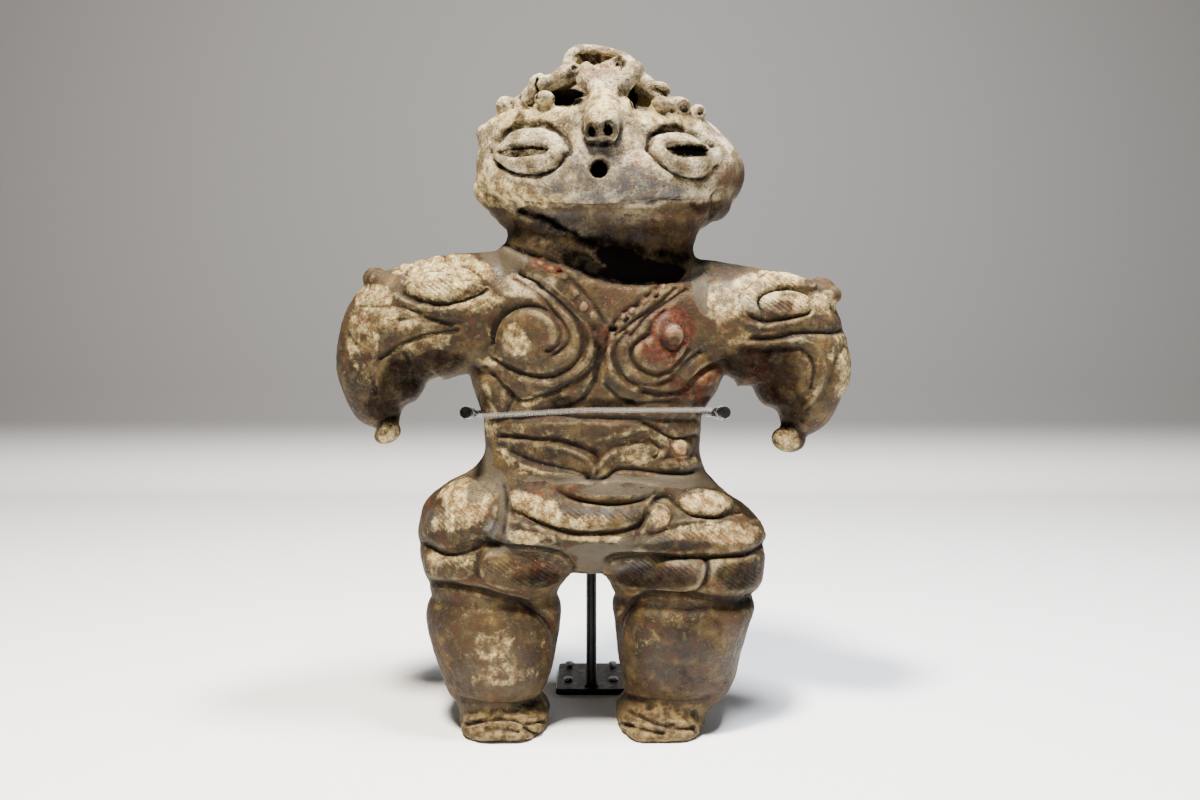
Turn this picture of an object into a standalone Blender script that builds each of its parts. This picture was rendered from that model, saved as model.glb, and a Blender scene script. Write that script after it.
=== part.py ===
"""Hollow clay figurine with narrow slit eyes, standing on its own two feet before a small metal stand.

Metres, +Z up. The figure faces -Y. The origin is on the ground, at the middle of the object's box.
Sizes below are in millimetres and are scaled once, when a mesh is made.
"""

import math

import bmesh
import bpy
import numpy as np

MM = 0.001

# Driving size of the figure, in millimetres. The tables of the body further down are drawn for a height of
# DRAWN_HEIGHT and follow FIGURE_HEIGHT: sideways sizes are measured from the figure's middle line, depths
# from the middle of its thickness, front negative, and heights from the soles.
FIGURE_HEIGHT = 360.0
DRAWN_HEIGHT = 360.0
BODY = FIGURE_HEIGHT / DRAWN_HEIGHT
CLAY_VOXEL = 1.7
CLAY_SMOOTHING = 7
FIGURE_TRIANGLES = 7200
SECTION_POINTS = 56
HORN_POINTS = 36

# The relief is laid out as the eye sees it from the front, at this distance and height.
VIEW_DISTANCE = 532.0
VIEW_HEIGHT = 195.4
VIEW_SIDE = 4.0

# Where the stand meets the body: its reach at the back, its half width at the waist on each side, its reach
# in front there, and the height of the waist bar
BACK_REACH = 34.5 * BODY
WAIST_LEFT = 58.5 * BODY
WAIST_RIGHT = 59.0 * BODY
WAIST_FRONT = 33.1 * BODY
FORK_HEIGHT = 164.0 * BODY

# Driving sizes of the stand
GAP = 0.35
ROD_DIAMETER = 6.0
ROD_CLEARANCE = 3.1
ROD_FLARE = 1.3
ROD_SIDE = -1.0
ROD_DEPTH = BACK_REACH + ROD_CLEARANCE + ROD_DIAMETER / 2
PLATE_WIDTH = 40.0
PLATE_LENGTH = 49.0
PLATE_THICK = 3.5
PLATE_MARGIN = 1.3
PLATE_FRONT = ROD_DEPTH - ROD_DIAMETER / 2 - ROD_FLARE - PLATE_MARGIN
PLATE_BACK = PLATE_FRONT + PLATE_LENGTH
PLATE_SIDE = ROD_SIDE - 0.5
PLATE_CORNER = 3.0
FORK_BAR = 3.4
FORK_CLEARANCE = 1.8
FORK_LEFT = WAIST_LEFT + FORK_CLEARANCE + FORK_BAR / 2
FORK_RIGHT = WAIST_RIGHT + FORK_CLEARANCE + FORK_BAR / 2
PRONG_FORWARD = 30.5 * BODY
PRONG_RISE = 2.6
SLEEVE_WALL = 0.95
SLEEVE_DIAMETER = FORK_BAR + 2 * GAP + 2 * SLEEVE_WALL
SLEEVE_LENGTH = 17.0
TUBE_DIAMETER = 2.8
TUBE_WALL = 0.55
TUBE_CLEARANCE = 2.2
LINE_DIAMETER = 0.7
LINE_TURNS = 1.5
SCREW_DIAMETER = 3.2
SCREW_HEAD = 5.4
SCREW_HEAD_HEIGHT = 1.5
SCREW_INSET = 6.7
SCREW_FRONT_ROW = 16.3
SCREW_PROUD = 1.2

# Trunk: height, left edge, right edge, front, back
TRUNK = (
    (82, -44, 50, -18, 16),
    (87, -78, 80, -31, 28),
    (93, -90, 89, -38, 32),
    (100, -93, 92, -41, 34),
    (107, -92, 89.5, -42, 34.5),
    (114, -90, 83, -41, 34),
    (121, -85.5, 73, -38, 33),
    (128, -77, 65.5, -35, 32),
    (135, -64, 59.5, -33, 31),
    (144, -57.5, 57, -31.5, 30),
    (155, -57.5, 57.5, -31.5, 29.5),
    (166, -58.5, 59, -33, 30),
    (178, -63, 67, -35.5, 31),
    (192, -66, 70, -38, 32.5),
    (206, -66, 69, -39, 34),
    (220, -63, 66, -38.5, 35),
    (232, -60, 62, -37.5, 35),
    (242, -54, 57, -36, 35),
    (250, -50, 53, -34.5, 35),
    (257, -45, 54.5, -33.5, 35.5),
    (265, -46, 58, -33.5, 36.5),
    (272, -50, 66, -35, 38),
)

# Head: an open bowl, from under the jaw up its outside, over the rim and down its inside
HEAD = (
    (260, -43, 54, -26, 34),
    (264, -48, 60, -33, 37),
    (269, -53, 67, -41, 40),
    (276, -57.5, 73, -46, 43),
    (285, -60.2, 77.4, -47.5, 45.5),
    (293, -61, 78.8, -46.5, 47),
    (301, -60.5, 76.4, -44, 47.5),
    (308, -59.2, 70.6, -41, 47),
    (313, -57.6, 65.6, -38, 45),
    (317, -54.5, 60, -34, 42),
    (319.5, -50, 54, -29, 38),
    (320, -44, 48, -24, 33),
    (316, -38, 42, -18, 28),
    (310, -28, 34, -11, 20),
    (307, -8, 14, -3, 6),
)

LEFT_THIGH = (
    (62, -76, -27, -25, 22),
    (67, -84, -20, -32, 29),
    (74, -87.5, -16, -35.5, 31.5),
    (83, -90, -8, -38, 33),
    (94, -92, 0, -38, 33),
    (106, -88, -4, -34, 30),
)
RIGHT_THIGH = (
    (62, 26, 72, -25, 22),
    (67, 14, 83, -32, 29),
    (74, 9.5, 89.5, -35.5, 31.5),
    (83, 6, 91, -38, 33),
    (94, 4, 91, -38, 33),
    (106, 6, 86, -34, 30),
)
LEFT_CALF = (
    (2, -68, -33, -26, 6),
    (8, -71, -30, -28, 9),
    (14, -74, -28, -30.5, 13),
    (20, -78, -24.5, -33, 18),
    (27, -80, -22, -35, 23),
    (35, -83, -20, -36.5, 27),
    (44, -86, -18.5, -37.5, 30),
    (54, -88, -17, -38, 31.5),
    (63, -88, -17, -37, 31.5),
    (69, -84, -21, -32, 28),
    (72, -74, -30, -24, 21),
)
RIGHT_CALF = (
    (2, 21, 57, -26, 6),
    (8, 18, 62, -28, 9),
    (14, 17.5, 69, -30.5, 13),
    (20, 16, 74, -33, 18),
    (27, 15, 77, -35, 23),
    (35, 13.5, 78.5, -36.5, 27),
    (44, 12.5, 81, -37.5, 30),
    (54, 11.5, 83.5, -38, 31.5),
    (63, 10.5, 86.5, -37, 31.5),
    (69, 14, 83, -32, 28),
    (72, 24, 72, -24, 21),
)
LEFT_FOOT = (
    (-4, -68, -25, -36, 13),
    (3, -70.5, -23, -39, 14),
    (9, -69.5, -24, -37, 13),
    (14, -67, -28, -30, 10),
)
RIGHT_FOOT = (
    (-4, 15, 57, -36, 13),
    (3, 12.5, 60, -39, 14),
    (9, 13, 59, -37, 13),
    (14, 17, 56, -30, 10),
)

# Horns: centre sideways, in depth and in height, then the radius seen from the front and the radius in depth
LEFT_ARM = (
    (-38, 0, 222, 29, 30),
    (-60, 0, 218.5, 31, 31),
    (-80, 0, 214.8, 31.8, 30.5),
    (-99, -1, 207.5, 32.5, 29),
    (-109, -2, 192.5, 27, 25.5),
    (-111.7, -3, 177, 21, 21),
    (-111.8, -4, 167.5, 14.8, 15.5),
    (-108.9, -5, 160.0, 7.6, 9),
    (-107.8, -6, 155, 4.6, 6),
)
RIGHT_ARM = (
    (38, 0, 218, 29, 30),
    (60, 0, 216, 29.5, 31),
    (80, 0, 212.5, 29.5, 30.5),
    (98, -1, 204.5, 33.5, 29),
    (108.6, -2, 189, 28.6, 26),
    (110.3, -3, 175, 23, 22.5),
    (110.4, -4, 165.5, 16.3, 17),
    (107.4, -5, 157.6, 8.8, 10),
    (104.6, -6, 152.5, 5.0, 7),
)
# Nose, from its tip up to the plate that it widens to under the top of the crown
NOSE = (
    (4.6, -49.5, 298.5, 7.4, 5.5),
    (4.7, -48.5, 303, 8.8, 8),
    (4.9, -46, 309, 8.7, 8),
    (5.3, -41, 316.5, 8.1, 7),
    (6.6, -34, 325.5, 6.6, 6.2),
    (7.6, -28.5, 332.5, 7.4, 5.4),
    (5.6, -24.5, 337.2, 11, 4.4),
    (4.4, -22, 339.2, 12.5, 3.4),
)

# Loose rounded lumps of clay: centre, half sizes along X, Y and Z, turn in degrees seen from the front
LUMPS = (
    ((-108.0, -6.0, 154.2), (7.6, 7.0, 5.6), 22.0),
    ((103.4, -6.0, 151.0), (9.2, 8.2, 7.0), -8.0),
    ((-103.0, 0.0, 233.0), (11.0, 12.0, 9.0), 30.0),
    ((121.0, 0.0, 228.5), (8.5, 10.0, 8.0), -40.0),
    ((-112.5, -12.0, 235.0), (6.5, 7.0, 6.5), 0.0),
    ((124.5, -10.0, 226.5), (5.5, 7.0, 5.5), 0.0),
    ((74.5, 2.0, 287.5), (5.2, 17.0, 11.5), -12.0),
    ((67.5, 3.0, 273.5), (5.4, 12.0, 7.5), -35.0),
    ((-56.0, -1.0, 279.0), (5.0, 14.0, 9.0), 35.0),
    ((-53.4, -6.0, 308.5), (5.6, 12.0, 7.6), 60.0),
    ((-4.5, -37.0, 311.0), (8.0, 6.5, 11.0), 0.0),
    ((14.0, -37.0, 311.0), (8.0, 6.5, 11.0), 0.0),
    ((-2.7, -30.0, 336.9), (3.9, 4.4, 4.0), 0.0),
    ((-2.6, -33.0, 330.6), (5.8, 5.6, 5.2), -15.0),
    ((1.1, -36.0, 326.3), (4.0, 4.8, 4.6), 0.0),
    ((4.2, 1.0, 348.6), (14.0, 4.4, 7.0), 0.0),
    ((4.5, -11.0, 337.5), (14.5, 12.0, 4.4), 0.0),
    ((-15.0, -17.0, 336.5), (11.5, 8.0, 5.0), 30.0),
    ((-14.0, -2.0, 340.0), (10.0, 15.0, 4.6), 20.0),
    ((-27.6, -22.0, 330.8), (5.0, 6.0, 6.6), -24.0),
    ((26.0, -12.0, 329.0), (7.0, 6.0, 9.0), 35.0),
    ((-23.7, -31.0, 322.1), (5.6, 5.0, 4.0), 0.0),
    ((-44.4, -10.0, 323.6), (5.8, 7.0, 5.3), 15.0),
    ((-37.2, -20.0, 320.6), (6.6, 5.0, 3.3), 36.0),
    ((33.7, -22.0, 329.0), (6.0, 6.0, 4.0), -5.0),
    ((34.2, -31.0, 319.8), (5.2, 5.2, 3.8), -8.0),
    ((43.6, -25.0, 320.2), (5.8, 6.0, 4.3), -18.0),
    ((53.7, -19.0, 318.2), (4.4, 6.0, 4.4), -30.0),
    ((-45.0, 18.0, 322.0), (5.4, 6.2, 4.6), 0.0),
    ((60.0, 16.0, 317.0), (5.4, 6.2, 4.6), 0.0),
    ((-20.0, 31.0, 340.0), (5.4, 5.4, 5.0), 0.0),
    ((32.0, 30.0, 339.0), (5.4, 5.4, 5.0), 0.0),
    ((6.0, 34.0, 344.0), (6.0, 5.4, 5.4), 0.0),
)

# Rolls of clay on the crown: a list of centres with the roll's radius at each
ROLLS = (
    ((13.3, -36.5, 324.8, 4.6), (16.8, -35.5, 330.2, 5.1), (21.2, -33.5, 335.3, 5.0)),
    ((-12.0, -15.0, 342.5, 3.5), (-10.8, -8.0, 350.0, 3.6), (-5.5, -2.0, 354.2, 3.5), (2.5, 0.0, 354.8, 3.3),
     (11.5, -2.0, 352.6, 3.2), (17.8, -8.0, 347.4, 3.4), (20.6, -16.0, 341.0, 3.4), (12.0, -21.0, 338.0, 2.8),
     (0.0, -23.0, 337.6, 2.8), (-8.6, -20.0, 338.6, 3.2), (-12.0, -15.0, 342.5, 3.5)),
    ((-20.0, -15.0, 334.0, 4.4), (-27.0, -19.0, 330.6, 4.4), (-33.0, -18.0, 325.6, 4.6),
     (-40.0, -15.0, 320.5, 4.6)),
    ((21.0, -15.0, 338.5, 4.2), (26.0, -18.0, 333.5, 4.6), (31.0, -21.0, 328.6, 4.4),
     (37.0, -22.0, 322.5, 4.4)),
    ((4.0, 4.0, 348.0, 5.4), (5.0, 14.0, 345.0, 6.4), (6.0, 25.0, 339.0, 7.0)),
    ((-38.0, 0.0, 320.0, 5.5), (-33.0, 12.0, 327.0, 6.6), (-21.0, 21.0, 333.5, 7.6), (5.0, 26.0, 337.5, 8.2),
     (30.0, 21.0, 333.5, 7.6), (41.0, 12.0, 326.5, 6.6), (48.0, 2.0, 319.0, 5.5)),
    ((-42.0, 8.0, 317.0, 6.0), (-26.0, 26.0, 323.0, 8.0), (5.0, 33.0, 326.0, 9.0), (36.0, 26.0, 322.5, 8.0),
     (54.0, 8.0, 316.0, 6.0)),
    ((-24.0, 20.0, 334.0, 5.0), (-20.0, 8.0, 337.0, 4.8), (-15.0, -5.0, 341.0, 4.4)),
    ((34.0, 20.0, 333.0, 5.0), (28.0, 8.0, 336.5, 4.8), (21.0, -5.0, 341.0, 4.4)),
)


def remove_everything():
    """Start from an empty scene."""
    for thing in list(bpy.data.objects):
        bpy.data.objects.remove(thing, do_unlink=True)


def make_collection(name):
    """A new collection linked to the scene."""
    group = bpy.data.collections.new(name)
    bpy.context.scene.collection.children.link(group)
    return group


def make_material(name, colour, roughness, metallic=0.0):
    """A plain Principled material."""
    material = bpy.data.materials.new(name)
    material.use_nodes = True
    shader = material.node_tree.nodes["Principled BSDF"]
    shader.inputs["Base Color"].default_value = (*colour, 1.0)
    shader.inputs["Roughness"].default_value = roughness
    shader.inputs["Metallic"].default_value = metallic
    return material


def add_object(name, mesh, group, material=None):
    """Put a mesh in a collection as a named object."""
    thing = bpy.data.objects.new(name, mesh)
    group.objects.link(thing)
    if material is not None:
        mesh.materials.clear()
        mesh.materials.append(material)
    return thing


def object_from_bmesh(name, shape, group, material=None):
    """Turn a bmesh drawn for DRAWN_HEIGHT into an object in metres."""
    bmesh.ops.scale(shape, vec=[MM * BODY] * 3, verts=shape.verts)
    bmesh.ops.recalc_face_normals(shape, faces=shape.faces)
    mesh = bpy.data.meshes.new(name)
    shape.to_mesh(mesh)
    shape.free()
    return add_object(name, mesh, group, material)


def shade(thing, angle=35.0):
    """Smooth shading with sharp edges above the angle."""
    thing.data.shade_smooth()
    thing.data.set_sharp_from_angle(angle=math.radians(angle))


def rounded_path(points, steps):
    """Points of a smooth curve (Catmull-Rom) through the given rows of numbers."""
    rows = np.asarray(points, dtype=float)
    padded = np.vstack((2 * rows[0] - rows[1], rows, 2 * rows[-1] - rows[-2]))
    out = []
    for index in range(len(rows) - 1):
        before, start, end, after = padded[index:index + 4]
        for step in range(steps):
            t = step / steps
            out.append(0.5 * (2 * start + (end - before) * t
                              + (2 * before - 5 * start + 4 * end - after) * t ** 2
                              + (3 * start - before - 3 * end + after) * t ** 3))
    out.append(rows[-1])
    return np.array(out)


def skin_rings(shape, rings):
    """Close a row of equal rings of points with quads and two end fans."""
    loops = [[shape.verts.new(point) for point in ring] for ring in rings]
    count = len(loops[0])
    for lower, upper in zip(loops, loops[1:]):
        for index in range(count):
            following = (index + 1) % count
            shape.faces.new((lower[index], lower[following], upper[following], upper[index]))
    shape.faces.new(loops[0][::-1])
    shape.faces.new(loops[-1])


def level_loft(shape, sections, squareness=2.3):
    """A closed body through level, egg-shaped sections."""
    rings = []
    for height, left, right, front, back in rounded_path(sections, 4):
        ring = []
        for index in range(SECTION_POINTS):
            turn = 2 * math.pi * index / SECTION_POINTS
            across, deep = math.cos(turn), math.sin(turn)
            x = math.copysign(abs(across) ** (2 / squareness), across)
            y = math.copysign(abs(deep) ** (2 / squareness), deep)
            reach = back if y > 0 else -front
            ring.append(((left + right) / 2 + x * (right - left) / 2, y * reach, height))
        rings.append(ring)
    skin_rings(shape, rings)


def horn_loft(shape, stations):
    """A curved horn: ovals along a path, as deep as their second radius."""
    path = rounded_path(stations, 5)
    centres = path[:, :3]
    along = np.gradient(centres, axis=0)
    along /= np.linalg.norm(along, axis=1)[:, None]
    rings = []
    for centre, direction, (radius, depth) in zip(centres, along, path[:, 3:]):
        side = np.array((direction[2], 0.0, -direction[0]))
        side /= np.linalg.norm(side)
        ring = []
        for index in range(HORN_POINTS):
            turn = 2 * math.pi * index / HORN_POINTS
            ring.append(centre + side * radius * math.cos(turn) + np.array((0, depth, 0)) * math.sin(turn))
        rings.append(ring)
    skin_rings(shape, rings)


def add_roll(shape, stations):
    """A roll of clay with round ends along a path."""
    path = rounded_path(stations, 4)
    for x, y, z, radius in path:
        add_lump(shape, (x, y, z), (radius, radius, radius), 0.0, 10)


def add_lump(shape, centre, half_sizes, turn, rounds=16):
    """An egg of clay."""
    made = bmesh.ops.create_uvsphere(shape, u_segments=rounds + 4, v_segments=rounds - 2, radius=1.0)["verts"]
    bmesh.ops.scale(shape, vec=half_sizes, verts=made)
    angle = math.radians(turn)
    for vert in made:
        x, y, z = vert.co
        vert.co = (centre[0] + x * math.cos(angle) - z * math.sin(angle), centre[1] + y,
                   centre[2] + x * math.sin(angle) + z * math.cos(angle))


def clay_body(group):
    """The figure's rounded masses, joined into one skin."""
    shape = bmesh.new()
    for sections in (TRUNK, LEFT_THIGH, RIGHT_THIGH, LEFT_CALF, RIGHT_CALF):
        level_loft(shape, sections)
    level_loft(shape, HEAD, 2.15)
    for sections in (LEFT_FOOT, RIGHT_FOOT):
        level_loft(shape, sections, 3.0)
    for stations in (LEFT_ARM, RIGHT_ARM, NOSE):
        horn_loft(shape, stations)
    for centre, half_sizes, turn in LUMPS:
        add_lump(shape, centre, half_sizes, turn)
    for stations in ROLLS:
        add_roll(shape, stations)
    rough = object_from_bmesh("figure_rough", shape, group)
    join = rough.modifiers.new("Join", "REMESH")
    join.mode = "VOXEL"
    join.voxel_size = CLAY_VOXEL * MM * BODY
    soften = rough.modifiers.new("Soften", "SMOOTH")
    soften.factor = 0.5
    soften.iterations = CLAY_SMOOTHING
    bpy.context.view_layer.update()
    skin = bpy.data.meshes.new_from_object(rough.evaluated_get(bpy.context.evaluated_depsgraph_get()))
    bpy.data.objects.remove(rough, do_unlink=True)
    return skin


def fade(value, edge):
    """1 at zero distance, falling smoothly to 0 at the edge."""
    t = np.clip(1.0 - value / edge, 0.0, 1.0)
    return t * t * (3.0 - 2.0 * t)


class Relief:
    """Heights of the carving at each point of the skin, as seen from one side."""

    def __init__(self, points, normals, side):
        depth = points[:, 1] if side == "front" else -points[:, 1]
        scale = VIEW_DISTANCE / (VIEW_DISTANCE + depth)
        self.u = VIEW_SIDE + (points[:, 0] - VIEW_SIDE) * scale
        self.w = VIEW_HEIGHT + (points[:, 2] - VIEW_HEIGHT) * scale
        toward = -normals[:, 1] if side == "front" else normals[:, 1]
        self.facing = np.clip((toward - 0.02) / 0.3, 0.0, 1.0)
        self.height = np.zeros(len(points))

    def distance(self, stroke):
        """Distance from each point to a smooth stroke."""
        path = rounded_path(stroke, 5)
        best = np.full(len(self.u), 1e9)
        low, high = path.min(axis=0) - 8.0, path.max(axis=0) + 8.0
        near = np.flatnonzero((self.u > low[0]) & (self.u < high[0]) & (self.w > low[1]) & (self.w < high[1]))
        u, w = self.u[near], self.w[near]
        found = np.full(len(near), 1e9)
        for start, end in zip(path, path[1:]):
            run = end - start
            t = ((u - start[0]) * run[0] + (w - start[1]) * run[1]) / max(run @ run, 1e-9)
            t = np.clip(t, 0.0, 1.0)
            found = np.minimum(found, np.hypot(u - start[0] - t * run[0], w - start[1] - t * run[1]))
        best[near] = found
        return best

    def groove(self, width, depth, *strokes):
        """Cut grooves with round shoulders."""
        for stroke in strokes:
            self.height -= depth * fade(self.distance(stroke), width)

    def ridge(self, width, height, *strokes):
        """Raise rounded ridges."""
        for stroke in strokes:
            self.height += height * fade(self.distance(stroke), width)

    def oval_distance(self, centre, half_sizes, turn):
        """Rough distance outside (positive) or inside (negative) a turned oval."""
        angle = math.radians(turn)
        across, up = self.u - centre[0], self.w - centre[1]
        a = (across * math.cos(angle) + up * math.sin(angle)) / half_sizes[0]
        b = (up * math.cos(angle) - across * math.sin(angle)) / half_sizes[1]
        return (np.hypot(a, b) - 1.0) * min(half_sizes)

    def pad(self, centre, half_sizes, turn, height, edge=3.0):
        """A raised oval cushion."""
        self.height += height * fade(np.maximum(self.oval_distance(centre, half_sizes, turn), 0.0), edge)

    def ring_groove(self, centre, half_sizes, turn, width, depth):
        """A groove round an oval."""
        self.height -= depth * fade(np.abs(self.oval_distance(centre, half_sizes, turn)), width)


def carve_head(relief):
    """Eyes in their sockets, the mouth, the nostrils and the grooves of the neck."""
    relief.pad((-33.9, 303.5), (17.5, 10.6), 0.0, 1.6, 2.4)
    relief.ring_groove((-33.9, 304.2), (20.8, 14.2), 3.0, 2.6, 2.6)
    relief.groove(2.4, 2.8, ((-46.0, 303.0), (-36.0, 303.6), (-25.0, 303.2)))
    relief.pad((48.6, 302.4), (15.0, 10.0), -14.0, 1.6, 2.4)
    relief.ring_groove((46.6, 303.2), (18.8, 13.6), -12.0, 2.6, 2.6)
    relief.groove(2.4, 2.8, ((40.0, 303.6), (48.0, 303.4), (59.0, 303.6)))
    relief.pad((3.7, 294.2), (5.0, 5.0), 0.0, 1.2, 2.0)
    relief.height -= 9.0 * fade(np.maximum(relief.oval_distance((3.7, 294.2), (3.4, 3.8), 0.0), 0.0), 2.2)
    for spot in ((-0.4, 313.4), (8.0, 314.2)):
        relief.height -= 6.0 * fade(np.maximum(relief.oval_distance(spot, (1.4, 1.7), 0.0), 0.0), 2.0)
    relief.groove(3.0, 1.2, ((-46.2, 256.2), (-25.1, 244.6), (6.6, 234.1), (25.2, 233.6), (56.9, 241.5)))
    relief.groove(3.0, 1.0, ((-36.0, 272.4), (-16.0, 263.0), (10.0, 252.6)))


def carve_chest(relief):
    """Bands that meet under the neck and the scrolls round both breasts."""
    relief.ridge(4.0, 1.3, ((-39.0, 247.0), (-25.0, 239.5), (-11.9, 229.9), (2.9, 214.0)),
                 ((35.2, 236.2), (25.2, 228.8), (15.7, 220.9), (6.0, 212.0)))
    relief.groove(2.6, 1.4, ((-44.7, 242.0), (-33.1, 234.8), (-19.9, 223.7), (-6.6, 210.0), (-1.5, 200.0)),
                  ((49.6, 230.9), (40.1, 222.5), (31.6, 213.0), (27.9, 205.0)),
                  ((44.3, 237.0), (33.2, 226.6), (22.6, 216.1), (14.6, 207.1)))
    relief.pad((-38.0, 207.0), (10.0, 9.0), 0.0, 1.0, 3.0)
    relief.groove(2.8, 1.9, ((-56.5, 206.7), (-51.2, 218.8), (-38.4, 222.5), (-24.6, 217.7), (-17.2, 208.7),
                             (-18.3, 200.8), (-24.7, 197.7)),
                  ((-51.3, 196.0), (-44.9, 189.6), (-36.0, 187.0), (-24.7, 187.0), (-14.1, 193.9),
                   (-8.7, 204.5), (-11.9, 217.1)),
                  ((-61.9, 189.6), (-51.3, 183.8), (-42.8, 177.4), (-29.5, 177.9), (-17.3, 183.2),
                   (-5.6, 194.8)))
    relief.pad((42.0, 202.6), (4.4, 4.4), 0.0, 3.2, 2.6)
    relief.ring_groove((41.7, 203.4), (12.6, 14.4), 0.0, 2.8, 1.9)
    relief.groove(2.8, 1.8, ((14.5, 203.8), (17.7, 191.6), (26.3, 184.1), (40.2, 182.0), (51.9, 187.4),
                             (58.2, 195.8)),
                  ((7.2, 188.5), (12.6, 178.8), (30.6, 174.2), (51.9, 176.8), (60.4, 184.8), (66.7, 191.6)))
    relief.groove(2.2, 1.2, ((3.0, 212.0), (2.4, 200.8), (-0.3, 187.5), (-1.3, 176.2)))


def carve_belly(relief):
    """The winged band above the waist, the belly and its two crescents."""
    relief.groove(2.4, 1.5, ((-54.0, 158.0), (-30.0, 159.5), (4.0, 159.5), (36.0, 158.5), (56.0, 157.0)))
    for sign in (-1, 1):
        middle = 2.5
        relief.pad((middle + sign * 26.0, 144.0), (24.0, 5.6), sign * -4.0, 2.0, 2.6)
        relief.pad((middle + sign * 22.0, 137.2), (20.0, 3.0), sign * 8.0, 1.2, 2.4)
    relief.groove(2.2, 1.8, ((-20.0, 151.0), (-7.0, 146.7), (2.4, 135.9), (10.0, 146.0), (20.0, 151.0)))
    relief.pad((47.8, 145.3), (5.6, 4.6), 0.0, 1.8, 2.6)
    relief.groove(2.6, 1.6, ((-19.0, 122.3), (-5.6, 118.6), (7.2, 116.9), (22.7, 119.0), (31.8, 123.9)))
    relief.groove(3.2, 2.2, ((-42.0, 114.2), (-31.9, 108.4), (-19.0, 102.9), (-5.6, 100.2), (7.2, 100.2),
                             (20.1, 102.4), (30.1, 110.4)))
    relief.pad((-4.0, 110.0), (28.0, 6.0), 0.0, 1.2, 4.0)


def carve_hips_and_legs(relief):
    """Hip pads, the bands round the thighs and the tops of the barrel-shaped calves."""
    relief.pad((-70.0, 112.6), (19.0, 14.0), 8.0, 2.0, 4.0)
    relief.pad((59.1, 115.8), (17.5, 5.8), 0.0, 1.8, 2.8)
    relief.groove(2.8, 1.8, ((28.1, 109.4), (36.1, 119.0), (52.1, 124.3), (72.9, 119.0), (87.3, 108.9)),
                  ((-49.6, 93.7), (-28.2, 93.1), (-14.8, 87.8), (-9.4, 81.3)),
                  ((10.4, 81.3), (17.4, 87.7), (36.2, 90.4), (91.4, 91.5)),
                  ((-90.0, 94.7), (-79.1, 87.6), (-66.1, 84.4), (-56.4, 88.5), (-49.0, 94.0)))
    relief.groove(3.2, 2.6, ((-90.0, 73.6), (-72.8, 71.0), (-59.4, 68.3), (-46.0, 65.6), (-31.5, 61.8),
                             (-22.4, 54.7), (-16.0, 44.5)),
                  ((11.0, 47.8), (18.0, 60.1), (24.4, 65.0), (32.5, 67.2), (55.0, 66.7), (80.3, 63.9),
                   (90.0, 67.1)))
    relief.groove(2.2, 1.3, ((-50.4, 95.2), (-48.0, 84.0), (-52.0, 72.0)),
                  ((60.9, 90.0), (60.0, 79.0), (54.0, 69.0)))
    relief.groove(2.8, 1.8, ((-72.0, 11.3), (-60.8, 8.1), (-50.0, 7.6), (-39.2, 8.1), (-27.5, 10.8)),
                  ((17.1, 12.6), (31.0, 8.7), (42.9, 7.6), (55.3, 7.7), (65.2, 11.4)))


def carve_arms(relief):
    """Shoulder pads and the lines that flow round the horn-shaped arms."""
    relief.pad((-80.7, 235.6), (18.0, 6.6), 2.0, 2.2, 3.0)
    relief.groove(2.6, 1.6, ((-104.1, 227.7), (-86.1, 223.5), (-70.2, 224.6), (-58.5, 230.8)),
                  ((-117.7, 189.2), (-113.9, 200.8), (-104.3, 207.1), (-89.9, 213.0), (-68.7, 215.1),
                   (-59.7, 213.0)))
    relief.pad((98.0, 225.6), (17.0, 8.0), 6.0, 2.0, 3.0)
    relief.groove(2.6, 1.6, ((77.4, 218.2), (85.7, 212.0), (99.5, 211.0), (116.3, 217.2)),
                  ((83.7, 202.4), (102.2, 205.5), (118.1, 208.7), (131.5, 208.7)),
                  ((84.7, 200.8), (107.0, 202.9), (119.3, 193.9), (121.1, 181.1), (112.1, 166.7)))


def carve_back(relief):
    """Plainer carving on the back, in keeping with the front."""
    for sign in (-1, 1):
        relief.pad((sign * 92.0, 230.0), (20.0, 8.0), sign * -8.0, 1.8, 3.0)
        relief.groove(2.8, 1.6, ((sign * 60.0, 212.0), (sign * 84.0, 213.0), (sign * 106.0, 205.0),
                                 (sign * 118.0, 188.0)),
                      ((sign * 8.0, 216.0), (sign * 22.0, 228.0), (sign * 42.0, 226.0), (sign * 52.0, 208.0),
                       (sign * 42.0, 190.0), (sign * 22.0, 188.0), (sign * 8.0, 202.0)),
                      ((sign * 14.0, 96.0), (sign * 34.0, 90.0), (sign * 60.0, 88.0), (sign * 92.0, 91.0)))
        relief.pad((sign * 58.0, 112.0), (22.0, 9.0), sign * 6.0, 1.8, 4.0)
        relief.groove(3.2, 2.4, ((sign * 14.0, 58.0), (sign * 28.0, 66.0), (sign * 54.0, 68.0),
                                 (sign * 90.0, 69.0)))
    relief.groove(2.4, 1.4, ((-60.0, 157.0), (0.0, 159.0), (60.0, 157.0)),
                  ((-60.0, 134.0), (0.0, 131.0), (60.0, 134.0)))
    relief.groove(2.8, 1.5, ((-46.0, 246.0), (0.0, 238.0), (52.0, 246.0)),
                  ((-60.0, 286.0), (4.0, 276.0), (76.0, 286.0)),
                  ((-34.0, 306.0), (4.0, 316.0), (44.0, 306.0), (4.0, 294.0), (-34.0, 306.0)))


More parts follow.
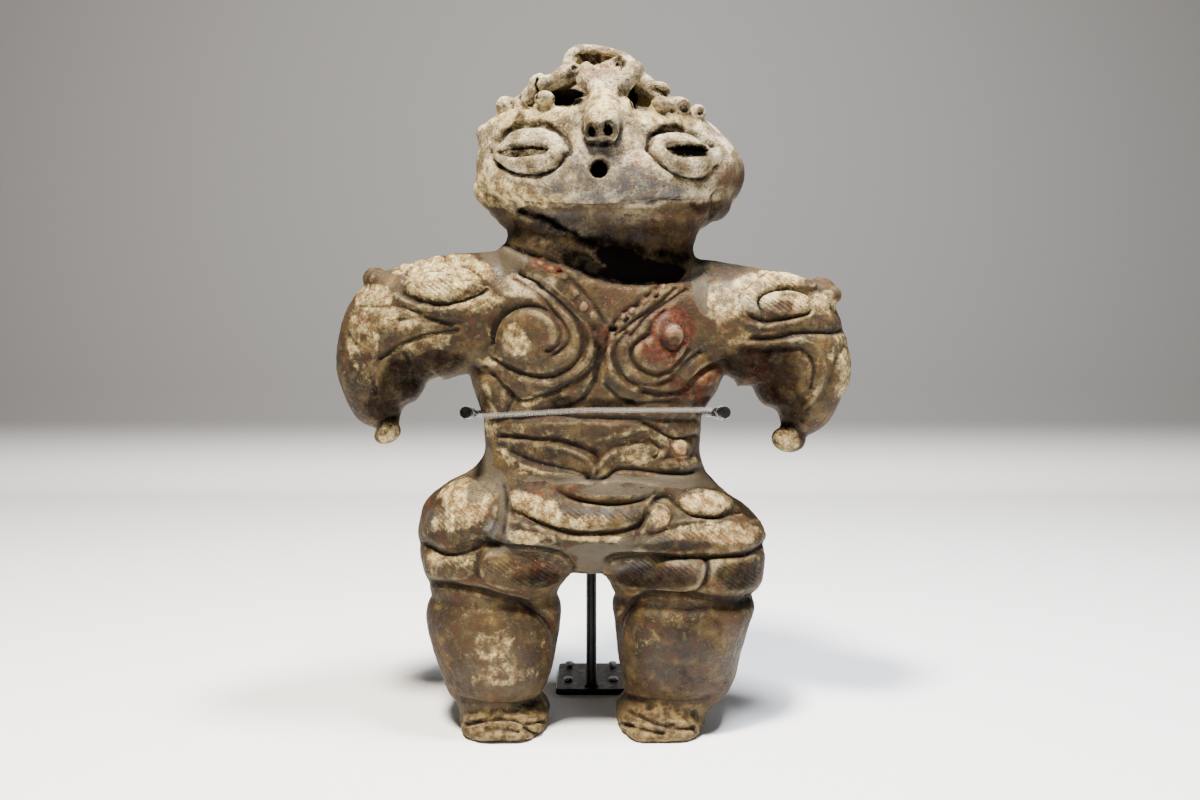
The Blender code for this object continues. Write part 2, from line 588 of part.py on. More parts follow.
def carve_clay(skin):
    """Move the skin's points along their normals by the height of the carving."""
    count = len(skin.vertices)
    points = np.empty(count * 3, dtype=np.float32)
    skin.vertices.foreach_get("co", points)
    points = points.reshape(-1, 3).astype(float) / (MM * BODY)
    normals = np.empty(count * 3, dtype=np.float32)
    skin.vertex_normals.foreach_get("vector", normals)
    normals = normals.reshape(-1, 3).astype(float)
    for side, carvers in (("front", (carve_head, carve_chest, carve_belly, carve_hips_and_legs, carve_arms)),
                          ("back", (carve_back,))):
        relief = Relief(points, normals, side)
        for carver in carvers:
            carver(relief)
        points = points + normals * (relief.height * relief.facing)[:, None]
    skin.vertices.foreach_set("co", (points * MM * BODY).astype(np.float32).ravel())
    skin.update()


def flatten_soles(skin):
    """Cut both feet level with the ground and close the cut."""
    shape = bmesh.new()
    shape.from_mesh(skin)
    everything = list(shape.verts) + list(shape.edges) + list(shape.faces)
    bmesh.ops.bisect_plane(shape, geom=everything, dist=1e-7, plane_co=(0, 0, 0), plane_no=(0, 0, 1),
                           clear_inner=True)
    rim = [edge for edge in shape.edges if edge.is_boundary]
    bmesh.ops.triangle_fill(shape, edges=rim, use_beauty=True)
    bmesh.ops.recalc_face_normals(shape, faces=shape.faces)
    shape.to_mesh(skin)
    shape.free()


def make_figure(group, material):
    """The whole clay figure as one solid, thinned to a modest number of triangles."""
    skin = clay_body(group)
    carve_clay(skin)
    flatten_soles(skin)
    figure = add_object("figure", skin, group, material)
    triangles = sum(len(face.vertices) - 2 for face in skin.polygons)
    thin = figure.modifiers.new("Thin", "DECIMATE")
    thin.ratio = FIGURE_TRIANGLES / triangles
    thin.use_collapse_triangulate = True
    return figure


def screw_spots():
    """Places of the four screws, and how far each stands proud."""
    reach = PLATE_WIDTH / 2 - SCREW_INSET
    front, back = PLATE_FRONT + SCREW_FRONT_ROW, PLATE_BACK - SCREW_INSET
    return ((PLATE_SIDE - reach, front, 0.0), (PLATE_SIDE + reach, front, 0.0),
            (PLATE_SIDE - reach, back, SCREW_PROUD), (PLATE_SIDE + reach, back, SCREW_PROUD))


def make_plate(group, cutters, material):
    """The stand's foot: a flat plate with rounded corners and four screw holes."""
    bpy.ops.mesh.primitive_cube_add(size=1.0)
    plate = bpy.context.active_object
    plate.name = "stand_plate"
    plate.data.name = "stand_plate"
    plate.location = (PLATE_SIDE * MM, (PLATE_FRONT + PLATE_BACK) / 2 * MM, PLATE_THICK / 2 * MM)
    size = (PLATE_WIDTH * MM, PLATE_LENGTH * MM, PLATE_THICK * MM)
    for vert in plate.data.vertices:
        vert.co = [part * length for part, length in zip(vert.co, size)]
    shape = bmesh.new()
    shape.from_mesh(plate.data)
    tall = 0.5 * PLATE_THICK * MM
    upright = [edge for edge in shape.edges if abs(edge.verts[0].co.z - edge.verts[1].co.z) > tall]
    bmesh.ops.bevel(shape, geom=upright, offset=PLATE_CORNER * MM, segments=4, profile=0.5, affect="EDGES")
    shape.to_mesh(plate.data)
    shape.free()
    move_to(plate, group, material)
    soften = plate.modifiers.new("Edges", "BEVEL")
    soften.width = 0.4 * MM
    soften.segments = 1
    soften.limit_method = "ANGLE"
    soften.angle_limit = math.radians(50)
    for number, (x, y, _) in enumerate(screw_spots(), start=1):
        radius = SCREW_DIAMETER / 2 + GAP
        profile = ((radius, PLATE_THICK), (radius, -PLATE_THICK))
        cutter = make_turned("plate_hole_%d" % number, profile, cutters, None, 16)
        cutter.location = (x * MM, y * MM, PLATE_THICK / 2 * MM)
        cutter.display_type = "WIRE"
        cutter.hide_render = True
        hole = plate.modifiers.new("Hole %d" % number, "BOOLEAN")
        hole.operation = "DIFFERENCE"
        hole.object = cutter
    return plate


def move_to(thing, group, material):
    """Give a primitive its collection and its material."""
    for other in list(thing.users_collection):
        other.objects.unlink(thing)
    group.objects.link(thing)
    thing.data.materials.clear()
    if material is not None:
        thing.data.materials.append(material)


def make_turned(name, profile, group, material, rounds=32):
    """A turned piece from its outer profile, listed from top to bottom."""
    mesh = bpy.data.meshes.new(name)
    rows = [(0.0, profile[0][1])] + list(profile) + [(0.0, profile[-1][1])]
    points = [(radius * MM, 0.0, height * MM) for radius, height in rows]
    mesh.from_pydata(points, [(index, index + 1) for index in range(len(points) - 1)], [])
    thing = add_object(name, mesh, group, material)
    turn = thing.modifiers.new("Turn", "SCREW")
    turn.steps = rounds
    turn.render_steps = rounds
    turn.use_merge_vertices = True
    turn.merge_threshold = 0.00001
    turn.use_smooth_shade = True
    return thing


def make_rod(group, material):
    """The upright rod, with a small flare where it meets the plate."""
    foot, top = PLATE_THICK + GAP, FORK_HEIGHT - FORK_BAR / 2 - GAP
    radius = ROD_DIAMETER / 2
    flare = radius + ROD_FLARE
    profile = ((radius - 0.4, top), (radius, top - 0.4), (radius, foot + 1.8 * ROD_FLARE),
               (radius + 0.4 * ROD_FLARE, foot + 0.8 * ROD_FLARE), (flare, foot + 0.3), (flare, foot))
    rod = make_turned("stand_rod", profile, group, material, 20)
    rod.location = (ROD_SIDE * MM, ROD_DEPTH * MM, 0.0)
    return rod


def make_wire(name, points, diameter, group, material, resolution=3, caps=True):
    """A round bar or line along points, in millimetres."""
    curve = bpy.data.curves.new(name, "CURVE")
    curve.dimensions = "3D"
    curve.bevel_depth = diameter / 2 * MM
    curve.bevel_resolution = resolution
    curve.use_fill_caps = caps
    spline = curve.splines.new("POLY")
    spline.points.add(len(points) - 1)
    for point, place in zip(spline.points, points):
        point.co = (place[0] * MM, place[1] * MM, place[2] * MM, 1.0)
    wire = bpy.data.objects.new(name, curve)
    group.objects.link(wire)
    if material is not None:
        curve.materials.append(material)
    return wire


def fork_path():
    """Centre line of the bar that runs round behind the waist and forward on both sides."""
    left, right, deep, h = FORK_LEFT, FORK_RIGHT, ROD_DEPTH, FORK_HEIGHT
    tip, lift = -PRONG_FORWARD, PRONG_RISE
    spots = ((-left - 1.4, tip, h + lift), (-left - 0.8, 0.46 * tip, h + 0.46 * lift), (-left, 0.1 * deep, h),
             (-0.927 * left, 0.49 * deep, h), (-0.71 * left, 0.8 * deep, h), (-0.355 * left, 0.966 * deep, h),
             (ROD_SIDE, deep, h), (0.32 * right, 0.966 * deep, h), (0.69 * right, 0.8 * deep, h),
             (0.92 * right, 0.49 * deep, h), (right, 0.1 * deep, h),
             (right + 2.0, 0.46 * tip, h + 0.46 * lift), (right + 4.0, tip, h + lift))
    return rounded_path(spots, 2)


def make_fork(group, material):
    """The bent bar that keeps the figure from tipping."""
    return make_wire("stand_fork", fork_path(), FORK_BAR, group, material, 2)


def make_sleeve(name, end_index, group, material):
    """A soft black sleeve pushed over one end of the bar, closed at its front."""
    path = fork_path()
    tip = path[end_index]
    inner = path[1] if end_index == 0 else path[-2]
    along = (inner - tip) / np.linalg.norm(inner - tip)
    start = tip - along * 1.2
    finish = start + along * SLEEVE_LENGTH
    sleeve = make_wire(name + "_outside", (start, finish), SLEEVE_DIAMETER, group, None, 4)
    inside = (tip - along * GAP, finish + along * 4.0)
    bore = make_wire(name + "_inside", inside, FORK_BAR + 2 * GAP, group, None, 3)
    solids = []
    for wire in (sleeve, bore):
        bpy.context.view_layer.update()
        mesh = bpy.data.meshes.new_from_object(wire.evaluated_get(bpy.context.evaluated_depsgraph_get()))
        shape = bmesh.new()
        shape.from_mesh(mesh)
        bmesh.ops.remove_doubles(shape, verts=shape.verts, dist=0.00001)
        bmesh.ops.recalc_face_normals(shape, faces=shape.faces)
        shape.to_mesh(mesh)
        shape.free()
        solids.append(mesh)
        bpy.data.objects.remove(wire, do_unlink=True)
    return solids


def make_sleeves(group, cutters, material):
    """Both sleeves, each bored for the bar that it sits on."""
    for name, end_index in (("left_sleeve", 0), ("right_sleeve", -1)):
        outside, inside = make_sleeve(name, end_index, group, material)
        sleeve = add_object(name, outside, group, material)
        bore = add_object(name + "_bore", inside, cutters)
        bore.display_type = "WIRE"
        bore.hide_render = True
        cut = sleeve.modifiers.new("Bore", "BOOLEAN")
        cut.operation = "DIFFERENCE"
        cut.object = bore
        shade(sleeve)


def tube_path():
    """Centre line of the clear tube across the front of the body."""
    front = WAIST_FRONT + TUBE_CLEARANCE + TUBE_DIAMETER / 2
    left, right, low = -FORK_LEFT + 5.3, FORK_RIGHT - 2.6, FORK_HEIGHT + 0.9
    spots = []
    for share in (0.0, 0.07, 0.17, 0.3, 0.46, 0.62, 0.77, 0.9, 1.0):
        bow = 1.0 - abs(2.0 * share - 1.0) ** 2.4
        sag = min(1.0, share / 0.45)
        spots.append((left + (right - left) * share, -front + (1.0 - bow) * 4.2, low + 3.2 * sag))
    return spots


def make_tube(group, material):
    """The clear tube: an open pipe with a thin wall."""
    wire = make_wire("clear_tube_line", tube_path(), TUBE_DIAMETER, group, None, 2, caps=False)
    bpy.context.view_layer.update()
    mesh = bpy.data.meshes.new_from_object(wire.evaluated_get(bpy.context.evaluated_depsgraph_get()))
    mesh.name = "clear_tube"
    bpy.data.objects.remove(wire, do_unlink=True)
    tube = add_object("clear_tube", mesh, group, material)
    wall = tube.modifiers.new("Wall", "SOLIDIFY")
    wall.thickness = TUBE_WALL * MM
    wall.offset = -1.0
    shade(tube, 50)
    return tube


def wound_line(end, along, first_turn, sign):
    """Turns of line wound round a sleeve, from the back to the front."""
    side = np.cross(along, (0.0, 0.0, 1.0))
    side /= np.linalg.norm(side)
    up = np.cross(side, along)
    radius = SLEEVE_DIAMETER / 2 + LINE_DIAMETER / 2 + GAP
    points = []
    steps = 12
    for step in range(steps + 1):
        turn = first_turn + sign * 2 * math.pi * LINE_TURNS * step / steps
        reach = end - along * (2.4 * LINE_DIAMETER * step / steps)
        points.append(reach + side * radius * math.cos(turn) + up * radius * math.sin(turn))
    return points


def make_line(group, material):
    """Nylon line through the clear tube, wound round both sleeves."""
    fork = fork_path()
    left_along = (fork[1] - fork[0]) / np.linalg.norm(fork[1] - fork[0])
    right_along = (fork[-2] - fork[-1]) / np.linalg.norm(fork[-2] - fork[-1])
    left = wound_line(fork[0] + left_along * 4.0, left_along, math.pi, 1)
    right = wound_line(fork[-1] + right_along * 4.0, right_along, 0.0, -1)
    points = left + list(tube_path()) + right[::-1]
    return make_wire("nylon_line", points, LINE_DIAMETER, group, material, 2)


def make_screws(group, material):
    """Four screws with low round heads and a cross slot; the back pair stands a little proud."""
    head, shank = SCREW_HEAD / 2, SCREW_DIAMETER / 2
    for number, (x, y, proud) in enumerate(screw_spots(), start=1):
        seat = PLATE_THICK + GAP + proud
        rise = SCREW_HEAD_HEIGHT
        profile = ((head * 0.45, seat + rise), (head * 0.85, seat + 0.73 * rise), (head, seat + 0.27 * rise),
                   (head, seat), (shank, seat), (shank, 0.4))
        screw = make_turned("plate_screw_%d" % number, profile, group, material, 14)
        screw.location = (x * MM, y * MM, 0.0)


def box_middle(things):
    """The middle of the box that holds the things, in metres."""
    bpy.context.view_layer.update()
    graph = bpy.context.evaluated_depsgraph_get()
    low, high = np.full(3, 1e9), np.full(3, -1e9)
    for thing in things:
        mesh = thing.evaluated_get(graph).to_mesh()
        spots = np.array([thing.matrix_world @ vert.co for vert in mesh.vertices])
        low, high = np.minimum(low, spots.min(axis=0)), np.maximum(high, spots.max(axis=0))
        thing.evaluated_get(graph).to_mesh_clear()
    return (low + high) / 2


def main():
    """Build the figure and its stand."""
    remove_everything()
    group = make_collection("clay_figurine")
    cutters = make_collection("cutters")
    clay = make_material("fired clay", (0.16, 0.115, 0.065), 0.85)
    paint = make_material("dark paint", (0.012, 0.009, 0.008), 0.45)
    rubber = make_material("black sleeve", (0.008, 0.008, 0.008), 0.6)
    clear = make_material("clear tube", (0.75, 0.76, 0.74), 0.15)
    steel = make_material("steel", (0.5, 0.49, 0.47), 0.35, 1.0)
    make_figure(group, clay)
    make_plate(group, cutters, paint)
    make_rod(group, paint)
    make_fork(group, paint)
    make_sleeves(group, cutters, rubber)
    make_tube(group, clear)
    make_line(group, clear)
    make_screws(group, steel)
    middle = box_middle(list(group.objects))
    for thing in list(group.objects) + list(cutters.objects):
        thing.location.x -= middle[0]
        thing.location.y -= middle[1]


main()
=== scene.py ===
"""The looks of a hollow clay figurine and of the small stand that keeps it from tipping.

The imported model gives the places. Every surface is worked out here from named sizes in millimetres and is
turned to metres once, when its mesh is made. In these millimetres X runs from the figure's middle line, Y
from the middle of its thickness, front negative, and Z from the ground.
"""

import logging
import math
from dataclasses import dataclass, field
from enum import Enum

import bpy
import numpy as np
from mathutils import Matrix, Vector


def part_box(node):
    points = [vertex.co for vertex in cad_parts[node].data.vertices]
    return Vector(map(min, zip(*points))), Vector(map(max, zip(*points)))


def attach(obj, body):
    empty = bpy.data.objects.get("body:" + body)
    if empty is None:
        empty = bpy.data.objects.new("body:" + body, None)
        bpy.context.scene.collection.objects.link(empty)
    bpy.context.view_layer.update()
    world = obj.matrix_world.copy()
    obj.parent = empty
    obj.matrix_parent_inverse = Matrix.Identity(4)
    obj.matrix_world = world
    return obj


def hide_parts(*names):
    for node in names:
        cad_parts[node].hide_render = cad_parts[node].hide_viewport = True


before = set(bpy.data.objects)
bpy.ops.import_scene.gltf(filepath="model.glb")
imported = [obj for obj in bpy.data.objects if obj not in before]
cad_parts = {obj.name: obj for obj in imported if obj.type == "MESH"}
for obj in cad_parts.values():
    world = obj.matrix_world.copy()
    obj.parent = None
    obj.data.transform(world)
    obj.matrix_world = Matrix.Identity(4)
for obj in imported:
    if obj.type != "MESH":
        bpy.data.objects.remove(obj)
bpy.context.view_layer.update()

LOG = logging.getLogger("figurine")

MM = 0.001
ROOT = "root"

# The middle of the stand's plate in the figure's own millimetres
PLATE_MIDDLE = (-1.5, 59.5)

Pair = tuple[float, float]
Place = tuple[float, float, float]
Stroke = tuple[Pair, ...]
Array = np.ndarray
Socket = bpy.types.NodeSocket

# A groove's shoulders reach this many times as far as its bed, and take this share of its depth
SHOULDER = 2.4
SHOULDER_SHARE = 0.45

# Every groove is cut this many times as deep as its own number says
DEPTH_GAIN = 1.3

# Blender's wave pattern runs through this many radians for each unit of its scaled coordinate
WAVE_RADIANS = 20.0


def plate_shift() -> Array:
    """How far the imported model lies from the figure's own millimetres.

    Returns:
        The shift along X, Y and Z in millimetres.
    """
    low, high = (np.array(corner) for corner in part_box("stand_plate"))
    middle = (low + high) / 2 / MM
    return np.array((middle[0] - PLATE_MIDDLE[0], middle[1] - PLATE_MIDDLE[1], 0.0))


SHIFT = plate_shift()


def to_metres(points: Array) -> Array:
    """Points of the figure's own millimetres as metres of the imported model."""
    return (np.asarray(points, dtype=float) + SHIFT) * MM


def linear(colour: str) -> tuple[float, float, float, float]:
    """An sRGB hex colour as linear values.

    Args:
        colour: Six hex digits after a #.

    Returns:
        Red, green and blue as linear values, and an alpha of 1.
    """
    parts = [int(colour[index:index + 2], 16) / 255 for index in (1, 3, 5)]
    values = [part / 12.92 if part <= 0.04045 else ((part + 0.055) / 1.055) ** 2.4 for part in parts]
    return (*values, 1.0)


# Shader nodes


def add_node(tree: bpy.types.NodeTree, kind: str, settings: dict | None = None,
             links: dict | None = None) -> bpy.types.Node:
    """Add a node with its settings and links.

    Args:
        tree: The node tree.
        kind: The node's type, such as ShaderNodeTexNoise.
        settings: Values by name; an input's name sets that socket, any other name sets a property.
        links: Source sockets by input name or number.

    Returns:
        The new node.
    """
    node = tree.nodes.new(kind)
    for name, value in (settings or {}).items():
        if isinstance(name, int) or name in node.inputs:
            node.inputs[name].default_value = value
        else:
            setattr(node, name, value)
    for name, socket in (links or {}).items():
        tree.links.new(socket, node.inputs[name])
    return node


class Painter:
    """Short names for the few node patterns that every finish is made of."""

    def __init__(self, name: str):
        """Start a material whose Principled shader is the last step."""
        self.material = bpy.data.materials.new(name)
        self.material.use_nodes = True
        self.tree = self.material.node_tree
        self.shader = self.tree.nodes["Principled BSDF"]
        self.place = add_node(self.tree, "ShaderNodeTexCoord").outputs["Object"]

    def set(self, **values: object) -> None:
        """Set the shader's own sockets; underscores stand for spaces."""
        for name, value in values.items():
            self.shader.inputs[name.replace("_", " ")].default_value = value

    def into(self, name: str, socket: Socket) -> None:
        """Link a socket into the shader."""
        self.tree.links.new(socket, self.shader.inputs[name])

    def attribute(self, name: str) -> Socket:
        """The values that a mesh holds under a name."""
        return add_node(self.tree, "ShaderNodeAttribute", {"attribute_name": name}).outputs["Fac"]

    def noise(self, size: float, detail: float = 3.0, roughness: float = 0.55, distortion: float = 0.0,
              place: Socket | None = None) -> Socket:
        """Noise in soft patches.

        Args:
            size: About how many millimetres wide a patch is.
            detail: How many finer layers it has.
            roughness: How strong the finer layers are.
            distortion: How far the patches are pulled about.
            place: Coordinates to use instead of the piece's own.

        Returns:
            The noise, most of it near 0.5.
        """
        settings = {"Scale": 1.0 / (size * MM), "Detail": detail, "Roughness": roughness,
                    "Distortion": distortion}
        links = {"Vector": place or self.place}
        return add_node(self.tree, "ShaderNodeTexNoise", settings, links).outputs["Fac"]

    def cells(self, size: float) -> Socket:
        """Distance to the nearest of many scattered spots, about size millimetres apart."""
        scale = {"Scale": 1.0 / (size * MM)}
        return add_node(self.tree, "ShaderNodeTexVoronoi", scale, {"Vector": self.place}).outputs["Distance"]

    def ramp(self, source: Socket, low: float, high: float, start: float = 0.0, end: float = 1.0) -> Socket:
        """Spread the stretch from low to high smoothly over start to end."""
        settings = {"interpolation_type": "SMOOTHSTEP", "From Min": low, "From Max": high, "To Min": start,
                    "To Max": end}
        return add_node(self.tree, "ShaderNodeMapRange", settings, {"Value": source}).outputs["Result"]

    def math(self, operation: str, first: Socket | float, second: Socket | float) -> Socket:
        """Combine two sockets or numbers.

        Args:
            operation: The node's operation, such as ADD.
            first: The first socket or number.
            second: The second socket or number.

        Returns:
            The answer.
        """
        node = add_node(self.tree, "ShaderNodeMath", {"operation": operation})
        for index, value in enumerate((first, second)):
            if isinstance(value, Socket):
                self.tree.links.new(value, node.inputs[index])
            else:
                node.inputs[index].default_value = value
        return node.outputs["Value"]

    def mix(self, share: Socket, first: Socket | str, second: Socket | str) -> Socket:
        """Blend two colours.

        Args:
            share: How much of the second colour shows.
            first: A socket or a hex colour.
            second: A socket or a hex colour.

        Returns:
            The blended colour.
        """
        node = add_node(self.tree, "ShaderNodeMix", {"data_type": "RGBA"}, {0: share})
        for socket, value in ((node.inputs[6], first), (node.inputs[7], second)):
            if isinstance(value, Socket):
                self.tree.links.new(value, socket)
            else:
                socket.default_value = linear(value)
        return node.outputs[2]

    def bump(self, height: Socket, distance: float, strength: float = 1.0,
             below: Socket | None = None) -> Socket:
        """Bump that adds to the shading normal.

        Args:
            height: Heights from 0 to 1.
            distance: How many millimetres a height of 1 stands proud.
            strength: How much of it shows.
            below: The normal that it is laid on.

        Returns:
            The new normal.
        """
        links = {"Height": height} if below is None else {"Height": height, "Normal": below}
        settings = {"Distance": distance * MM, "Strength": strength}
        return add_node(self.tree, "ShaderNodeBump", settings, links).outputs["Normal"]


# Surfaces on grids


def rounded_path(points: Array | tuple, steps: int, closed: bool = False) -> Array:
    """A smooth curve (Catmull-Rom) through rows of numbers.

    Each span is the cubic that leaves a point along the line between its two neighbours.

    Args:
        points: Rows of two or more numbers.
        steps: Points for each span.
        closed: Whether the last row joins the first.

    Returns:
        The curve's rows.
    """
    rows = np.asarray(points, dtype=float)
    if closed:
        padded = np.vstack((rows[-1:], rows, rows[:2]))
    else:
        padded = np.vstack((2 * rows[0] - rows[1], rows, 2 * rows[-1] - rows[-2]))
    before, start, end, after = padded[:-3], padded[1:-2], padded[2:-1], padded[3:]
    t = (np.arange(steps) / steps)[None, :, None]
    before, start, end, after = (part[:, None, :] for part in (before, start, end, after))
    curve = 0.5 * (2 * start + (end - before) * t + (2 * before - 5 * start + 4 * end - after) * t ** 2
                   + (3 * start - before - 3 * end + after) * t ** 3)
    curve = curve.reshape(-1, rows.shape[1])
    return curve if closed else np.vstack((curve, rows[-1:]))


def turns(count: int) -> Array:
    """Equal angles round a circle."""
    return np.arange(count) * (2 * math.pi / count)


def level_loft(sections: tuple, squareness: float, columns: int = 72, steps: int = 5) -> Array:
    """Level, egg-shaped rings one above the other.

    A ring's point at angle t lies at the middle plus the half width times cos(t) to the power 2/squareness,
    with its sign, and at the front or back reach times sin(t) to that power.

    Args:
        sections: Rows of height, left edge, right edge, front and back.
        squareness: 2 for an ellipse, more for a squarer ring.
        columns: Points round a ring.
        steps: Rings between two sections.

    Returns:
        A grid of points, one row for each ring.
    """
    height, left, right, front, back = (part[:, None] for part in rounded_path(sections, steps).T)
    angle = turns(columns)[None, :]
    across = np.sign(np.cos(angle)) * np.abs(np.cos(angle)) ** (2 / squareness)
    deep = np.sign(np.sin(angle)) * np.abs(np.sin(angle)) ** (2 / squareness)
    x = (left + right) / 2 + across * (right - left) / 2
    y = deep * np.where(deep > 0, back, -front)
    return np.stack((x, y, np.broadcast_to(height, x.shape)), axis=-1)


def along_frames(centres: Array, upright: Place = (0.0, 1.0, 0.0)) -> tuple[Array, Array]:
    """Two directions square to a path at each of its points.

    Args:
        centres: The path's points.
        upright: A direction that the first answer stays square to.

    Returns:
        The side direction and the one square to it and to the path.
    """
    along = np.gradient(centres, axis=0)
    along /= np.linalg.norm(along, axis=1)[:, None]
    side = np.cross(along, np.array(upright))
    side /= np.linalg.norm(side, axis=1)[:, None]
    return side, np.cross(side, along)


def horn(stations: tuple, columns: int = 56, steps: int = 6) -> Array:
    """A curved horn: ovals square to a path, as wide as their radius and as deep as their second radius.

    Args:
        stations: Rows of X, Y, Z, radius and depth radius.
        columns: Points round an oval.
        steps: Ovals between two stations.

    Returns:
        A grid of points.
    """
    path = rounded_path(stations, steps)
    side, other = along_frames(path[:, :3])
    angle = turns(columns)[None, :, None]
    wide = side[:, None, :] * path[:, None, 3:4] * np.cos(angle)
    return path[:, None, :3] + wide + other[:, None, :] * path[:, None, 4:5] * np.sin(angle)


def roll(stations: tuple, columns: int = 20, steps: int = 5, closed: bool = False,
         upright: Place = (0.0, 1.0, 0.0)) -> Array:
    """A roll of clay: circles square to a path, with half a ball at each end.

    An end ball adds circles that step out by the radius times sin(a) and shrink by cos(a).

    Args:
        stations: Rows of X, Y, Z and radius.
        columns: Points round a circle.
        steps: Circles between two stations.
        closed: Whether the roll is a ring.
        upright: A direction that the circles' first side stays square to.

    Returns:
        A grid of points.
    """
    path = rounded_path(stations, steps, closed)
    if closed:
        path = np.vstack((path, path[:2]))
    centres, radius = path[:, :3], path[:, 3]
    if not closed:
        tilt = np.linspace(0.0, 1.45, 5)[1:]
        first, last = centres[0] - centres[1], centres[-1] - centres[-2]
        first, last = first / np.linalg.norm(first), last / np.linalg.norm(last)
        head = centres[0] + first * (radius[0] * np.sin(tilt))[::-1, None]
        tail = centres[-1] + last * (radius[-1] * np.sin(tilt))[:, None]
        centres = np.vstack((head, centres, tail))
        radius = np.concatenate(((radius[0] * np.cos(tilt))[::-1], radius, radius[-1] * np.cos(tilt)))
    side, other = along_frames(centres, upright)
    angle = turns(columns)[None, :, None]
    circle = side[:, None, :] * np.cos(angle) + other[:, None, :] * np.sin(angle)
    return centres[:, None, :] + circle * radius[:, None, None]


def egg(centre: tuple, half_sizes: tuple, turn: float = 0.0, columns: int = 24, rows: int = 15) -> Array:
    """An egg of clay: a ball stretched by its half sizes, then turned as seen from the front.

    Args:
        centre: Its middle.
        half_sizes: Its half sizes along X, Y and Z.
        turn: The turn in degrees.
        columns: Points round a level ring.
        rows: Level rings.

    Returns:
        A grid of points.
    """
    rise = np.linspace(-0.5, 0.5, rows + 2)[1:-1, None] * math.pi
    angle = turns(columns)[None, :]
    x = np.cos(rise) * np.cos(angle) * half_sizes[0]
    y = np.cos(rise) * np.sin(angle) * half_sizes[1]
    z = np.sin(rise) * np.ones_like(angle) * half_sizes[2]
    c, s = math.cos(math.radians(turn)), math.sin(math.radians(turn))
    return np.stack((centre[0] + x * c - z * s, centre[1] + y, centre[2] + x * s + z * c), axis=-1)


def join_grids(grids: list[Array]) -> tuple[Array, Array, Array]:
    """Close each grid round its columns and put a fan on both ends.

    Args:
        grids: Grids of points, rows by columns.

    Returns:
        All points, the four-sided faces and the three-sided faces.
    """
    points, quads, fans, start = [], [], [], 0
    for grid in grids:
        rows, columns = grid.shape[:2]
        index = np.arange(rows * columns).reshape(rows, columns) + start
        following = np.roll(index, -1, axis=1)
        quads.append(np.stack((index[:-1], following[:-1], following[1:], index[1:]), axis=-1).reshape(-1, 4))
        points += [grid.reshape(-1, 3), np.stack((grid[0].mean(axis=0), grid[-1].mean(axis=0)))]
        start += rows * columns
        low, high = np.full(columns, start), np.full(columns, start + 1)
        fans.append(np.stack((following[0], index[0], low), axis=-1))
        fans.append(np.stack((index[-1], following[-1], high), axis=-1))
        start += 2
    return np.vstack(points), np.vstack(quads), np.vstack(fans)


def mesh_from(name: str, points: Array, faces: list) -> bpy.types.Mesh:
    """A mesh from an array of points and a list of faces."""
    mesh = bpy.data.meshes.new(name)
    mesh.from_pydata(points.tolist(), [], faces)
    mesh.update()
    return mesh


def mesh_points(mesh: bpy.types.Mesh) -> Array:
    """A mesh's points, one to a row."""
    flat = np.empty(len(mesh.vertices) * 3, dtype=np.float32)
    mesh.vertices.foreach_get("co", flat)
    return flat.reshape(-1, 3).astype(float)


def move_points(mesh: bpy.types.Mesh, points: Array) -> None:
    """Put a mesh's points in new places."""
    mesh.vertices.foreach_set("co", points.astype(np.float32).ravel())
    mesh.update()


def in_scene(name: str, data: bpy.types.ID) -> bpy.types.Object:
    """A new object in the scene, made of a mesh, a light or a camera."""
    thing = bpy.data.objects.new(name, data)
    bpy.context.scene.collection.objects.link(thing)
    return thing


def evaluated_mesh(thing: bpy.types.Object) -> bpy.types.Mesh:
    """A copy of an object's mesh with its modifiers applied; the object goes."""
    bpy.context.view_layer.update()
    graph = bpy.context.evaluated_depsgraph_get()
    mesh = bpy.data.meshes.new_from_object(thing.evaluated_get(graph))
    bpy.data.objects.remove(thing, do_unlink=True)
    return mesh


def make_piece(mesh: bpy.types.Mesh, material: bpy.types.Material, slot: str,
               *nodes: str) -> bpy.types.Object:
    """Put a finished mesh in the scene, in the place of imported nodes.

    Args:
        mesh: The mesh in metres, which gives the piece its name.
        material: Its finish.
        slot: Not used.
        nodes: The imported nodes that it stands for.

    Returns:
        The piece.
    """
    piece = in_scene(mesh.name, mesh)
    mesh.materials.clear()
    mesh.materials.append(material)
    mesh.shade_smooth()
    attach(piece, ROOT)
    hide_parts(*nodes)
    LOG.info("%s stands for %s", piece.name, ", ".join(nodes))
    return piece


# Noise


def scatter(cells: Array, seed: int) -> Array:
    """A steady number from 0 to 1 for each row of whole numbers.

    The three numbers are multiplied by odd constants, summed, and their bits are folded and multiplied again.

    Args:
        cells: Rows of three whole numbers.
        seed: Which of many such patterns it is.

    Returns:
        One number for each row.
    """
    mask = np.uint64(0xFFFFFFFF)
    parts = cells.astype(np.int64).astype(np.uint64) & mask
    value = parts[..., 0] * np.uint64(374761393) + parts[..., 1] * np.uint64(668265263)
    value = (value + parts[..., 2] * np.uint64(2246822519) + np.uint64(seed * 3266489917 % 4294967291)) & mask
    for shift, factor in ((15, 2246822519), (13, 3266489917)):
        value ^= value >> np.uint64(shift)
        value = (value * np.uint64(factor)) & mask
    value ^= value >> np.uint64(16)
    return value.astype(float) / 4294967295.0


